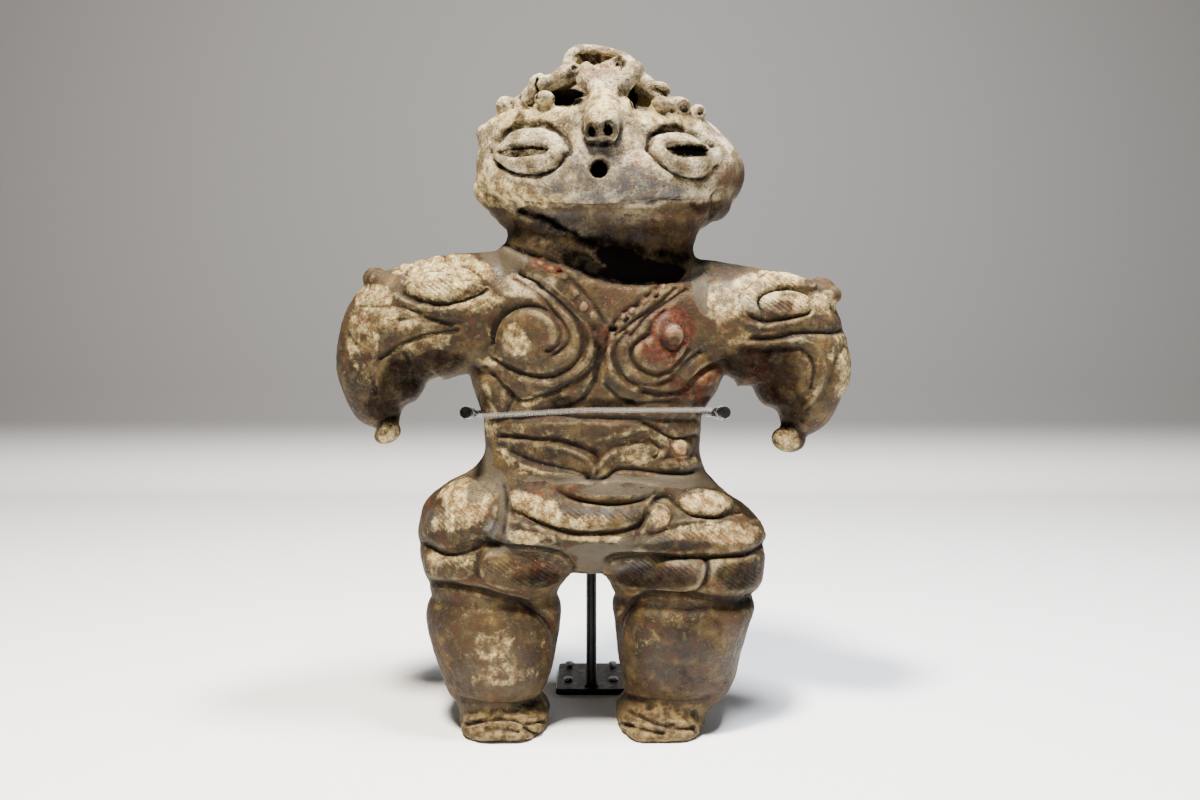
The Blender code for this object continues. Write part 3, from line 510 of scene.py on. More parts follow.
def lattice_noise(points: Array, size: float, seed: int) -> Array:
    """Soft noise from -1 to 1: random values on a lattice, blended by a smooth step between its corners.

    Args:
        points: Rows of X, Y and Z.
        size: The lattice's spacing.
        seed: Which of many such noises it is.

    Returns:
        A value for each point.
    """
    spots = points / size
    cell = np.floor(spots)
    t = spots - cell
    t = t * t * (3 - 2 * t)
    total = np.zeros(len(points))
    for corner in np.ndindex(2, 2, 2):
        weight = np.prod(np.where(np.array(corner) == 1, t, 1 - t), axis=1)
        total += weight * scatter(cell + np.array(corner), seed)
    return total * 2 - 1


def layered_noise(points: Array, size: float, seed: int, layers: int = 3) -> Array:
    """Soft noise with finer layers, each half as wide and half as strong as the one before.

    Args:
        points: Rows of X, Y and Z.
        size: The spacing of the first layer.
        seed: Which of many such noises it is.
        layers: How many layers it has.

    Returns:
        A value from -1 to 1 for each point.
    """
    total, strength = np.zeros(len(points)), 0.0
    for layer in range(layers):
        total += lattice_noise(points, size / 2 ** layer, seed + layer) / 2 ** layer
        strength += 1 / 2 ** layer
    return total / strength


def nearest_spot(points: Array, size: float, seed: int) -> Array:
    """Distance to the nearest of many scattered spots, one in each cell of a lattice.

    Args:
        points: Rows of X, Y and Z.
        size: The cells' width.
        seed: Which of many such patterns it is.

    Returns:
        The distances as shares of a cell's width.
    """
    spots = points / size
    cell = np.floor(spots)
    best = np.full(len(points), 9.0)
    for offset in np.ndindex(3, 3, 3):
        neighbour = cell + np.array(offset) - 1
        spot = np.stack([scatter(neighbour, seed + axis) for axis in range(3)], axis=-1)
        best = np.minimum(best, np.linalg.norm(neighbour + spot - spots, axis=1))
    return best


def fade(value: Array, edge: float) -> Array:
    """1 at zero and below, falling smoothly to 0 at the edge."""
    t = np.clip(1.0 - value / edge, 0.0, 1.0)
    return t * t * (3.0 - 2.0 * t)


# The figure's own forms, in millimetres


@dataclass
class ClayMasses:
    """The rounded masses that the figure was built up from, before any carving."""

    # Height, left edge, right edge, front, back
    trunk: tuple = (
        (82, -44, 50, -18, 16), (87, -78, 80, -31, 28), (93, -90, 89, -38, 32), (100, -93, 92, -41, 34),
        (107, -92, 89.5, -42, 34.5), (114, -90, 83, -41, 34), (121, -85.5, 73, -38, 33),
        (128, -77, 65.5, -35, 32), (135, -64, 59.5, -33, 31), (144, -57.5, 57, -31.5, 30),
        (155, -57.5, 57.5, -31.5, 29.5), (166, -58.5, 59, -33, 30), (178, -63, 67, -35.5, 31),
        (192, -66, 70, -38, 32.5), (206, -66, 69, -39, 34), (220, -63, 66, -38.5, 35),
        (232, -60, 62, -37.5, 35), (242, -54, 57, -36, 35), (250, -50, 53, -34.5, 35),
        (257, -45, 54.5, -33.5, 35.5), (265, -46, 58, -33.5, 36.5), (272, -50, 66, -35, 38),
    )
    # The head is a bowl: up its outside, over the rim and down its inside
    head: tuple = (
        (260, -43, 54, -26, 34), (264, -48, 60, -33, 37), (269, -53, 67, -41, 40), (276, -57.5, 73, -46, 43),
        (285, -60.2, 77.4, -47.5, 45.5), (293, -61, 78.8, -46.5, 47), (301, -60.5, 76.4, -44, 47.5),
        (308, -59.2, 70.6, -41, 47), (313, -57.6, 65.6, -38, 45), (317, -54.5, 60, -34, 42),
        (319.5, -50, 54, -29, 38), (320, -44, 48, -24, 33), (316, -38, 42, -18, 28), (310, -28, 34, -11, 20),
        (307, -8, 14, -3, 6),
    )
    left_thigh: tuple = (
        (62, -76, -27, -25, 22), (67, -84, -20, -32, 29), (74, -87.5, -16, -35.5, 31.5),
        (83, -90, -8, -38, 33), (94, -92, 0, -38, 33), (106, -88, -4, -34, 30),
    )
    right_thigh: tuple = (
        (62, 26, 72, -25, 22), (67, 14, 83, -32, 29), (74, 9.5, 89.5, -35.5, 31.5), (83, 6, 91, -38, 33),
        (94, 4, 91, -38, 33), (106, 6, 86, -34, 30),
    )
    left_calf: tuple = (
        (2, -68, -33, -26, 6), (8, -71, -30, -28, 9), (14, -74, -28, -30.5, 13), (20, -78, -24.5, -33, 18),
        (27, -80, -22, -35, 23), (35, -83, -20, -36.5, 27), (44, -86, -18.5, -37.5, 30),
        (54, -88, -17, -38, 31.5), (63, -88, -17, -37, 31.5), (69, -84, -21, -32, 28),
        (72, -74, -30, -24, 21),
    )
    right_calf: tuple = (
        (2, 21, 57, -26, 6), (8, 18, 62, -28, 9), (14, 17.5, 69, -30.5, 13), (20, 16, 74, -33, 18),
        (27, 15, 77, -35, 23), (35, 13.5, 78.5, -36.5, 27), (44, 12.5, 81, -37.5, 30),
        (54, 11.5, 83.5, -38, 31.5), (63, 10.5, 86.5, -37, 31.5), (69, 14, 83, -32, 28),
        (72, 24, 72, -24, 21),
    )
    left_foot: tuple = (
        (0, -68.5, -25, -37, 13), (3, -70.5, -23, -39, 14), (9, -69.5, -24, -37, 13), (14, -67, -28, -30, 10),
    )
    right_foot: tuple = (
        (0, 14, 58, -37, 13), (3, 12.5, 60, -39, 14), (9, 13, 59, -37, 13), (14, 17, 56, -30, 10),
    )
    # X, Y, Z, radius seen from the front, radius in depth
    left_arm: tuple = (
        (-38, 0, 222, 29, 30), (-60, 0, 218.5, 31, 31), (-80, 0, 214.8, 31.8, 30.5),
        (-99, -1, 207.5, 32.5, 29), (-109, -2, 192.5, 27, 25.5), (-111.7, -3, 177, 21, 21),
        (-111.8, -4, 167.5, 14.8, 15.5), (-108.9, -5, 160, 7.6, 9), (-107.8, -6, 155, 4.6, 6),
    )
    right_arm: tuple = (
        (38, 0, 218, 29, 30), (60, 0, 216, 29.5, 31), (80, 0, 212.5, 29.5, 30.5), (98, -1, 204.5, 33.5, 29),
        (108.6, -2, 189, 28.6, 26), (110.3, -3, 175, 23, 22.5), (110.4, -4, 165.5, 16.3, 17),
        (107.4, -5, 157.6, 8.8, 10), (104.6, -6, 152.5, 5, 7),
    )
    # Nose, from its tip up to the plate that it widens to under the top of the crown
    nose: tuple = (
        (4.6, -49.5, 298.5, 7.4, 5.5), (4.7, -48.5, 303, 8.8, 8), (4.9, -46, 309, 8.7, 8),
        (5.3, -41, 316.5, 8.1, 7), (6.6, -34, 325.5, 6.6, 6.2), (7.6, -28.5, 332.5, 7.4, 5.4),
        (5.6, -24.5, 337.2, 11, 4.4), (4.4, -22, 339.2, 12.5, 3.4),
    )
    # Loose lumps: centre, half sizes, turn seen from the front
    limb_lumps: tuple = (
        ((-108, -6, 154.2), (7.6, 7, 5.6), 22), ((103.4, -6, 151), (9.2, 8.2, 7), -8),
        ((-103, 0, 233), (11, 12, 9), 30), ((121, 0, 228.5), (8.5, 10, 8), -40),
        ((-112.5, -12, 235), (6.5, 7, 6.5), 0), ((124.5, -10, 226.5), (5.5, 7, 5.5), 0),
    )
    head_lumps: tuple = (
        ((74.5, 2, 287.5), (5.2, 17, 11.5), -12), ((67.5, 3, 273.5), (5.4, 12, 7.5), -35),
        ((-56, -1, 279), (5, 14, 9), 35), ((-53.4, -6, 308.5), (5.6, 12, 7.6), 60),
        ((-4.5, -37, 311), (8, 6.5, 11), 0), ((14, -37, 311), (8, 6.5, 11), 0),
    )
    # Beads, knobs and lobes on the crown
    crown_lumps: tuple = (
        ((-2.7, -30, 336.9), (3.9, 4.4, 4), 0), ((-2.6, -33, 330.6), (5.8, 5.6, 5.2), -15),
        ((1.1, -36, 326.3), (4, 4.8, 4.6), 0), ((4.2, 1, 348.6), (14, 4.4, 7), 0),
        ((4.5, -11, 337.5), (14.5, 12, 4.4), 0), ((-15, -17, 336.5), (11.5, 8, 5), 30),
        ((-14, -2, 340), (10, 15, 4.6), 20), ((-27.6, -22, 330.8), (5, 6, 6.6), -24),
        ((26, -12, 329), (7, 6, 9), 35), ((-23.7, -31, 322.1), (5.6, 5, 4), 0),
        ((-44.4, -10, 323.6), (5.8, 7, 5.3), 15), ((-37.2, -20, 320.6), (6.6, 5, 3.3), 36),
        ((33.7, -22, 329), (6, 6, 4), -5), ((34.2, -31, 319.8), (5.2, 5.2, 3.8), -8),
        ((43.6, -25, 320.2), (5.8, 6, 4.3), -18), ((53.7, -19, 318.2), (4.4, 6, 4.4), -30),
        ((-45, 18, 322), (5.4, 6.2, 4.6), 0), ((60, 16, 317), (5.4, 6.2, 4.6), 0),
        ((-20, 31, 340), (5.4, 5.4, 5), 0), ((32, 30, 339), (5.4, 5.4, 5), 0),
        ((6, 34, 344), (6, 5.4, 5.4), 0),
    )
    # Rolls: X, Y, Z and radius along each
    crown_rolls: tuple = (
        ((13.3, -36.5, 324.8, 4.6), (16.8, -35.5, 330.2, 5.1), (21.2, -33.5, 335.3, 5)),
        ((-20, -15, 334, 4.4), (-27, -19, 330.6, 4.4), (-33, -18, 325.6, 4.6), (-40, -15, 320.5, 4.6)),
        ((21, -15, 338.5, 4.2), (26, -18, 333.5, 4.6), (31, -21, 328.6, 4.4), (37, -22, 322.5, 4.4)),
        ((4, 4, 348, 5.4), (5, 14, 345, 6.4), (6, 25, 339, 7)),
        ((-38, 0, 320, 5.5), (-33, 12, 327, 6.6), (-21, 21, 333.5, 7.6), (5, 26, 337.5, 8.2),
         (30, 21, 333.5, 7.6), (41, 12, 326.5, 6.6), (48, 2, 319, 5.5)),
        ((-42, 8, 317, 6), (-26, 26, 323, 8), (5, 33, 326, 9), (36, 26, 322.5, 8), (54, 8, 316, 6)),
        ((-24, 20, 334, 5), (-20, 8, 337, 4.8), (-15, -5, 341, 4.4)),
        ((34, 20, 333, 5), (28, 8, 336.5, 4.8), (21, -5, 341, 4.4)),
    )
    # The broken ring on top, closed
    crown_ring: tuple = (
        (-12, -15, 342.5, 3.5), (-10.8, -8, 350, 3.6), (-5.5, -2, 354.2, 3.5), (2.5, 0, 354.8, 3.3),
        (11.5, -2, 352.6, 3.2), (17.8, -8, 347.4, 3.4), (20.6, -16, 341, 3.4), (12, -21, 338, 2.8),
        (0, -23, 337.6, 2.8), (-8.6, -20, 338.6, 3.2),
    )
    body_squareness: float = 2.3
    head_squareness: float = 2.15
    foot_squareness: float = 3.0

    def grids(self) -> list[Array]:
        """All masses as grids of points."""
        body = (self.trunk, self.left_thigh, self.right_thigh, self.left_calf, self.right_calf)
        made = [level_loft(sections, self.body_squareness) for sections in body]
        made.append(level_loft(self.head, self.head_squareness))
        made += [level_loft(sections, self.foot_squareness) for sections in (self.left_foot, self.right_foot)]
        made += [horn(stations) for stations in (self.left_arm, self.right_arm, self.nose)]
        made += [egg(*lump) for lump in self.limb_lumps + self.head_lumps + self.crown_lumps]
        made += [roll(stations, upright=(0.37, 0.83, 0.41)) for stations in self.crown_rolls]
        made.append(roll(self.crown_ring, closed=True))
        return made


class Skin:
    """The figure's skin as plain arrays: points in millimetres, edges and normals."""

    def __init__(self, mesh: bpy.types.Mesh):
        """Read the points and edges of a mesh drawn in millimetres."""
        self.mesh = mesh
        self.points = mesh_points(mesh)
        ends = np.empty(len(mesh.edges) * 2, dtype=np.int32)
        mesh.edges.foreach_get("vertices", ends)
        self.edges = ends.reshape(-1, 2)
        self.degree = np.bincount(self.edges.ravel(), minlength=len(self.points)).astype(float)[:, None]

    def neighbour_mean(self, values: Array) -> Array:
        """The mean of the neighbours' values at each point."""
        first, second = self.edges[:, 0], self.edges[:, 1]
        count = len(values)
        columns = []
        for column in values.T:
            total = np.bincount(first, weights=column[second], minlength=count)
            total += np.bincount(second, weights=column[first], minlength=count)
            columns.append(total)
        return np.stack(columns, axis=-1) / self.degree

    def relaxed(self, points: Array, rounds: int) -> Array:
        """Points moved half way to their neighbours' mean, again and again."""
        for _ in range(rounds):
            points = 0.5 * points + 0.5 * self.neighbour_mean(points)
        return points

    def write(self) -> None:
        """Put the present points into the mesh."""
        move_points(self.mesh, self.points)

    def normals(self) -> Array:
        """Normals of the present points, as Blender works them out."""
        self.write()
        flat = np.empty(len(self.points) * 3, dtype=np.float32)
        self.mesh.vertex_normals.foreach_get("vector", flat)
        return flat.reshape(-1, 3).astype(float)


class Side(Enum):
    """The side that a drawing is laid on."""

    FRONT = "front"
    BACK = "back"


@dataclass
class Drawing:
    """The skin as the eye sees it from one side, for laying strokes and patches on it.

    A point's place on the drawing is its place divided by its distance from the eye: u to the right, w up,
    both true millimetres at the middle of the figure's thickness.
    """

    points: Array
    normals: Array
    side: Side
    eye_distance: float = 532.0
    eye_side: float = 4.0
    eye_height: float = 195.4
    wander: float = 0.45
    wander_size: float = 9.0
    u: Array = field(init=False)
    w: Array = field(init=False)
    facing: Array = field(init=False)

    def __post_init__(self) -> None:
        """Work out each point's place on the drawing, with the small wander of a hand."""
        front = self.side is Side.FRONT
        depth = self.points[:, 1] if front else -self.points[:, 1]
        scale = self.eye_distance / (self.eye_distance + depth)
        self.u = self.eye_side + (self.points[:, 0] - self.eye_side) * scale
        self.w = self.eye_height + (self.points[:, 2] - self.eye_height) * scale
        self.u += self.wander * lattice_noise(self.points, self.wander_size, 11)
        self.w += self.wander * lattice_noise(self.points, self.wander_size, 12)
        toward = -self.normals[:, 1] if front else self.normals[:, 1]
        self.facing = np.clip((toward - 0.02) / 0.3, 0.0, 1.0)

    def near(self, path: Array, reach: float) -> Array:
        """Numbers of the points within reach of a path's box."""
        low, high = path.min(axis=0) - reach, path.max(axis=0) + reach
        return np.flatnonzero((self.u > low[0]) & (self.u < high[0]) & (self.w > low[1]) & (self.w < high[1]))

    def stroke_distance(self, stroke: Stroke, reach: float, closed: bool = False) -> tuple[Array, Array]:
        """Distance to a smooth stroke.

        Args:
            stroke: Places on the drawing that the stroke runs through.
            reach: Distance within which points are measured.
            closed: Whether the stroke joins up.

        Returns:
            The numbers of the near points, and their distances.
        """
        path = rounded_path(stroke, 6, closed)
        if closed:
            path = np.vstack((path, path[:1]))
        chosen = self.near(path, reach)
        u, w = self.u[chosen], self.w[chosen]
        found = np.full(len(chosen), 1e9)
        for start, end in zip(path, path[1:]):
            run = end - start
            t = np.clip(((u - start[0]) * run[0] + (w - start[1]) * run[1]) / max(run @ run, 1e-9), 0.0, 1.0)
            found = np.minimum(found, np.hypot(u - start[0] - t * run[0], w - start[1] - t * run[1]))
        return chosen, found

    def outline_distance(self, outline: Stroke, reach: float) -> tuple[Array, Array]:
        """Distance to a closed outline, negative inside it.

        A point is inside where a level line from it crosses the outline an odd number of times.

        Args:
            outline: Places on the drawing that the outline runs through.
            reach: Distance within which points are measured.

        Returns:
            The numbers of the near points, and their distances.
        """
        chosen, found = self.stroke_distance(outline, reach, closed=True)
        path = rounded_path(outline, 6, True)
        u, w = self.u[chosen], self.w[chosen]
        inside = np.zeros(len(chosen), dtype=bool)
        for (u0, w0), (u1, w1) in zip(path, np.roll(path, -1, axis=0)):
            if w0 == w1:
                continue
            crosses = (w0 > w) != (w1 > w)
            inside ^= crosses & (u < u0 + (w - w0) / (w1 - w0) * (u1 - u0))
        return chosen, np.where(inside, -found, found)

    def oval_distance(self, centre: Pair, half_sizes: Pair, turn: float) -> Array:
        """Rough distance outside (positive) or inside (negative) a turned oval.

        Args:
            centre: The middle of the oval on the drawing.
            half_sizes: Its half sizes.
            turn: Its turn in degrees.

        Returns:
            A distance for each point of the skin.
        """
        angle = math.radians(turn)
        across, up = self.u - centre[0], self.w - centre[1]
        a = (across * math.cos(angle) + up * math.sin(angle)) / half_sizes[0]
        b = (up * math.cos(angle) - across * math.sin(angle)) / half_sizes[1]
        return (np.hypot(a, b) - 1.0) * min(half_sizes)


class Carving:
    """Heights and deep holes cut into the skin from one side."""

    def __init__(self, drawing: Drawing):
        """Start with a smooth skin."""
        self.drawing = drawing
        self.height = np.zeros(len(drawing.u))
        self.pushed = np.zeros(len(drawing.u))

    def groove(self, width: float, depth: float, *strokes: Stroke) -> None:
        """Cut grooves: a narrow bed along the stroke, between shoulders that fall from further off.

        Args:
            width: Half the width of the bed.
            depth: How deep the bed lies, before the gain.
            strokes: The strokes that the grooves follow.
        """
        for stroke in strokes:
            chosen, distance = self.drawing.stroke_distance(stroke, SHOULDER * width)
            bed, shoulder = fade(distance, width), fade(distance, SHOULDER * width)
            share = (1.0 - SHOULDER_SHARE) * bed + SHOULDER_SHARE * shoulder
            self.height[chosen] -= DEPTH_GAIN * depth * share

    def sink(self, outline: Stroke, depth: float, edge: float = 1.6) -> None:
        """Press in all inside an outline, deepest in its middle.

        Args:
            outline: The closed outline.
            depth: How deep the middle lies.
            edge: How far its edge slopes.
        """
        chosen, distance = self.drawing.outline_distance(outline, edge)
        inner = np.clip(-distance / 2.4, 0.0, 1.0)
        self.height[chosen] -= depth * (0.6 * fade(distance + edge / 2, edge) + 0.4 * inner)

    def ridge(self, width: float, height: float, *strokes: Stroke) -> None:
        """Raise rounded ridges.

        Args:
            width: Half the width of a ridge.
            height: How high it stands.
            strokes: The strokes that the ridges follow.
        """
        for stroke in strokes:
            chosen, distance = self.drawing.stroke_distance(stroke, width)
            self.height[chosen] += height * fade(distance, width)

    def panel(self, outline: Stroke, height: float, edge: float = 1.8, crown: float = 0.0) -> None:
        """Raise all inside an outline.

        Args:
            outline: The closed outline.
            height: How high its edge stands; below zero it is sunk.
            edge: How far its edge slopes.
            crown: How much higher its middle stands.
        """
        chosen, distance = self.drawing.outline_distance(outline, edge)
        self.height[chosen] += height * fade(distance + edge / 2, edge)
        inner = np.clip(-distance, 0.0, 9.0)
        self.height[chosen] += crown * (1.0 - (1.0 - inner / 9.0) ** 2)

    def pad(self, centre: Pair, half_sizes: Pair, turn: float, height: float, edge: float = 2.4) -> None:
        """Raise an oval cushion.

        Args:
            centre: The middle of the oval on the drawing.
            half_sizes: Its half sizes.
            turn: Its turn in degrees.
            height: How high it stands.
            edge: How far its edge slopes.
        """
        distance = self.drawing.oval_distance(centre, half_sizes, turn)
        self.height += height * fade(np.maximum(distance, 0.0), edge)

    def dome(self, centre: Pair, half_sizes: Pair, turn: float, height: float) -> None:
        """Raise a rounded boss, as high at each point as a quarter circle over the distance from its edge.

        Args:
            centre: The middle of the oval on the drawing.
            half_sizes: Its half sizes.
            turn: Its turn in degrees.
            height: How high its middle stands.
        """
        distance = self.drawing.oval_distance(centre, half_sizes, turn)
        rise = np.clip(-distance / min(half_sizes), 0.0, 1.0)
        self.height += height * np.sqrt(1.0 - (1.0 - rise) ** 2)

    def ring(self, centre: Pair, half_sizes: Pair, turn: float, width: float, depth: float) -> None:
        """Cut a groove round an oval.

        Args:
            centre: The middle of the oval on the drawing.
            half_sizes: Its half sizes.
            turn: Its turn in degrees.
            width: Half the width of the groove.
            depth: How deep it is; below zero it is a rim.
        """
        distance = np.abs(self.drawing.oval_distance(centre, half_sizes, turn))
        self.height -= depth * fade(distance, width)

    def hole(self, centre: Pair, half_sizes: Pair, turn: float, depth: float, edge: float = 1.0) -> None:
        """Push a hole straight in, away from the eye.

        Args:
            centre: The middle of the oval on the drawing.
            half_sizes: Its half sizes.
            turn: Its turn in degrees.
            depth: How deep it goes.
            edge: How far its edge slopes.
        """
        distance = self.drawing.oval_distance(centre, half_sizes, turn)
        seen = self.drawing.facing > 0.05
        self.pushed = np.maximum(self.pushed, depth * fade(distance + edge / 2, edge) * seen)

    def apply(self, points: Array, normals: Array) -> Array:
        """Move the skin along its normals by the heights, and straight in by the holes.

        Args:
            points: The skin's points.
            normals: Their normals.

        Returns:
            The moved points.
        """
        moved = points + normals * (self.height * self.drawing.facing)[:, None]
        inward = 1.0 if self.drawing.side is Side.FRONT else -1.0
        moved[:, 1] += inward * self.pushed
        return moved


class FrontCarver:
    """What was carved and modelled on the figure's front, part by part."""

    def __init__(self, carving: Carving):
        """Keep the carving that the methods work on."""
        self.carving = carving

    def work(self) -> None:
        """Carve everything."""
        for step in (self.head, self.crown, self.neck, self.left_breast, self.right_breast, self.collar_bands,
                     self.flanks, self.waist_wings, self.belly, self.hips, self.thighs, self.legs,
                     self.left_arm, self.right_arm):
            step()

    def head(self) -> None:
        """Eyes that are discs with a slit, each in a ring groove, the nose, the nostrils and the mouth."""
        c = self.carving
        c.groove(3.4, 3.4, ((-50, 308.5), (-44.5, 314), (-36, 317.4), (-26.5, 317.4), (-18.5, 314.4),
                            (-13.5, 309), (-12, 303.5)))
        c.groove(2, 2.3, ((-53.5, 303), (-52.5, 299), (-48.5, 294.8), (-42, 291.6), (-33.5, 290.6),
                            (-24.5, 291.8), (-18.5, 295), (-15, 301)))
        c.pad((-34.5, 303.2), (17.2, 10.2), 0, 1.7, 2.6)
        c.panel(((-49.8, 302), (-43.5, 305.4), (-34.5, 306.2), (-26, 305.2), (-22.6, 303.2),
                 (-26.5, 300.6), (-34.5, 299.6), (-44.5, 299.8)), -2.1, 1)
        c.groove(1, 1.3, ((-43, 304.8), (-34, 305.4), (-26.5, 304.4)))
        c.groove(1.2, 0.7, ((-48, 296.8), (-41.5, 294.8), (-34, 294.2), (-26, 295.4), (-20.5, 298.6)))
        c.groove(2.8, 3.4, ((30, 306), (31.5, 312), (38, 315.2), (48, 314.4), (56.5, 311), (63.5, 305.8)))
        c.groove(2.4, 2.6, ((30, 304), (35.5, 297.4), (44, 291.4), (53.5, 288.2), (61, 289.2), (65.8, 295.5)))
        c.pad((50, 301.8), (15.4, 9.6), -14, 1.7, 2.6)
        c.panel(((38.4, 305.4), (46, 306.2), (54, 305.6), (62.8, 304.2), (57.5, 300.8), (50, 299),
                 (41.6, 300.8)), -2.3, 1)
        c.groove(1, 1.5, ((39.5, 305.2), (46, 305.5), (54, 304.9), (60, 304)))
        c.groove(1.2, 0.7, ((38.5, 297.6), (46.5, 293.8), (55, 292.2), (60.5, 294.6)))
        c.ring((3.6, 294.4), (6.2, 6.4), 0, 2.4, -0.9)
        c.hole((3.6, 294.4), (4.6, 5), 0, 11)
        for spot in ((-0.1, 313.9), (8.1, 314.5)):
            c.hole(spot, (2.3, 2.9), 0, 7)
        c.groove(1.8, 0.7, ((-4.6, 316), (-4.6, 310), (-3, 305.6)),
                 ((12.4, 305.4), (14.6, 310), (15.2, 317)))
        c.groove(2.6, 1.5, ((-60, 282.4), (-52.5, 277.6), (-39.5, 275), (-21.5, 273.6), (1, 272.6),
                            (16, 273.4), (31, 275.4), (46, 276.2), (60.5, 276.8), (71.5, 281.5)))
        c.groove(1.8, 2.4, ((67.4, 281), (65.5, 277), (64, 272), (62.5, 268)))

    def crown(self) -> None:
        """Small holes and slots in the lobes of the crown."""
        c = self.carving
        c.sink(((-8.5, 352.3), (-3, 353.4), (3, 353.4), (9, 352), (12.5, 350.4), (10.5, 348), (6, 346.6),
                (0, 347.4), (-5, 349.2)), 3.4, 1.4)
        c.hole((47.9, 325.6), (2.2, 2.4), 0, 3)
        for spot in ((14.4, 350.6), (12.2, 347.4), (16.6, 347.8), (-9.6, 346)):
            c.hole(spot, (1.5, 1.2), 30, 1.8)
        c.ring((47.9, 325.6), (3.4, 3.6), 0, 1.2, -0.5)
        c.hole((56.8, 323.6), (1.5, 1.8), 0, 2.2)
        c.groove(1.6, 2.2, ((33.4, 334.4), (39, 333)))
        c.groove(1.4, 1.3, ((-45, 331.5), (-42.5, 326)))
        c.groove(1.3, 1.8, ((-28.4, 341), (-29.4, 337.5), (-28, 334), (-29.5, 330.5)))
        c.groove(1.6, 1, ((-39.5, 332.5), (-36, 327)))

    def neck(self) -> None:
        """Lines scored round the neck and the edge of the chest below it."""
        c = self.carving
        c.groove(2.6, 0.7, ((-36.5, 271), (-26, 267), (-15.4, 263), (-5.7, 257.3), (4, 253.3)))
        c.groove(1.6, 0.3, ((17, 269), (31, 269.5), (41, 271), (53.5, 273)))
        c.groove(2.4, 1.7, ((-46, 254.5), (-42, 252), (-28.5, 247.9), (-14, 243), (-1, 238),
                            (10, 234.6), (21, 233.2), (35.5, 234), (49, 235.6), (57, 240)))
        c.groove(1.6, 0.35, ((-34, 262), (-22, 256.5), (-8, 250), (6, 244.5)),
                 ((14, 262), (34, 262.5), (50, 265)))

    def left_breast(self) -> None:
        """A disc with a scar, and the scroll that runs round it."""
        c = self.carving
        c.panel(((-19, 198), (-15.5, 206.5), (-18, 213.5), (-24.5, 218.5), (-33, 221), (-41, 219.5),
                 (-47.5, 215), (-51.5, 207.5), (-52, 200), (-46, 194.5), (-36, 192.5), (-26, 193.5)), 0.9,
                2, 1)
        c.groove(2.3, 2.3, ((-24, 198.2), (-18.6, 201.5), (-17.2, 207), (-19.6, 213.6), (-25.4, 218.8),
                            (-33, 221.6), (-41.5, 220.2), (-48.6, 215.4), (-52.8, 208), (-53.8, 201)))
        c.groove(2.2, 1.9, ((-42, 236), (-30, 228), (-22, 219.8), (-15, 211.5), (-12.6, 204.5),
                            (-15.5, 199.4), (-20.5, 196.4)))
        c.groove(2.3, 2, ((-39.5, 240), (-28.5, 232.5), (-19, 224.5), (-10.4, 216), (-5.8, 207.5),
                            (-5.4, 198.5), (-10.6, 190), (-20.5, 184.6), (-32, 184.2), (-44, 188.5),
                            (-55, 193.8)))
        c.ridge(2.6, 1.1, ((-29, 237), (-14, 224.5), (-4, 213.5), (-0.8, 203.5), (-2, 194.5), (-7.5, 187),
                           (-17.5, 181.5), (-29.5, 180), (-38, 182.5)))
        c.groove(2.2, 1.7, ((-58, 189), (-53.5, 184.6), (-48.5, 179.2), (-43, 173.8), (-36, 171.2),
                            (-26.5, 174), (-15.5, 179), (-6.5, 183), (1, 190.5), (3.8, 199)))
        c.groove(2.2, 1.6,
                 ((4.5, 199), (2, 187.5), (-1, 177.8), (-6.5, 171.5), (-15.5, 168.4), (-30.5, 166.6)))
        c.groove(2, 1.3, ((-63.5, 188.5), (-59.5, 186.5), (-54, 184.6)),
                 ((-46, 178), (-43.5, 171.5), (-47, 164.5)))

    def right_breast(self) -> None:
        """A boss in a ring, the scroll round it and the lines that run up to the shoulder."""
        c = self.carving
        c.panel(((30, 198), (28.5, 205), (32.5, 213.5), (39, 218), (46, 216.5), (51.5, 210), (51.5, 200),
                 (46.5, 194), (38, 192)), 0.5, 2, 0.6)
        c.dome((42.6, 206), (5.6, 5.8), 0, 4.4)
        c.groove(1.8, 1.6, ((36.8, 203.4), (39.5, 199.6), (44.5, 198.6), (48.6, 202.4)))
        c.groove(2.2, 2.2, ((30.4, 206.4), (25.6, 203.6), (21.4, 198.8), (21.6, 192.6), (26.4, 187.4),
                            (34.4, 185), (42, 187.2), (48, 193.2), (51.6, 199)))
        c.groove(2, 1.5, ((18.6, 207.5), (13.4, 201.2), (11.8, 193.5), (14.8, 186), (22, 181), (30, 179.4),
                            (38.5, 180.8), (45.5, 185.4), (51.5, 192.5), (58, 197.5)))
        c.ridge(2.2, 0.9, ((10.2, 205), (8.8, 196), (10.4, 186.5), (16, 180), (24, 176.6)))
        c.groove(2.3, 2.5, ((70.5, 191), (63, 189.4), (56.5, 184.8), (51, 178.5), (45.5, 174.9), (37, 174.2),
                            (28, 176)))
        c.groove(2, 1.5, ((9.6, 208), (7.2, 199.5), (4.2, 189.5), (2.2, 181.5)))
        c.groove(2, 1.3, ((7, 179.5), (12.5, 174), (22, 170.6), (35.5, 170.4), (46, 171.6)))
        c.pad((61, 186), (7.5, 4.6), 42, 1, 2)

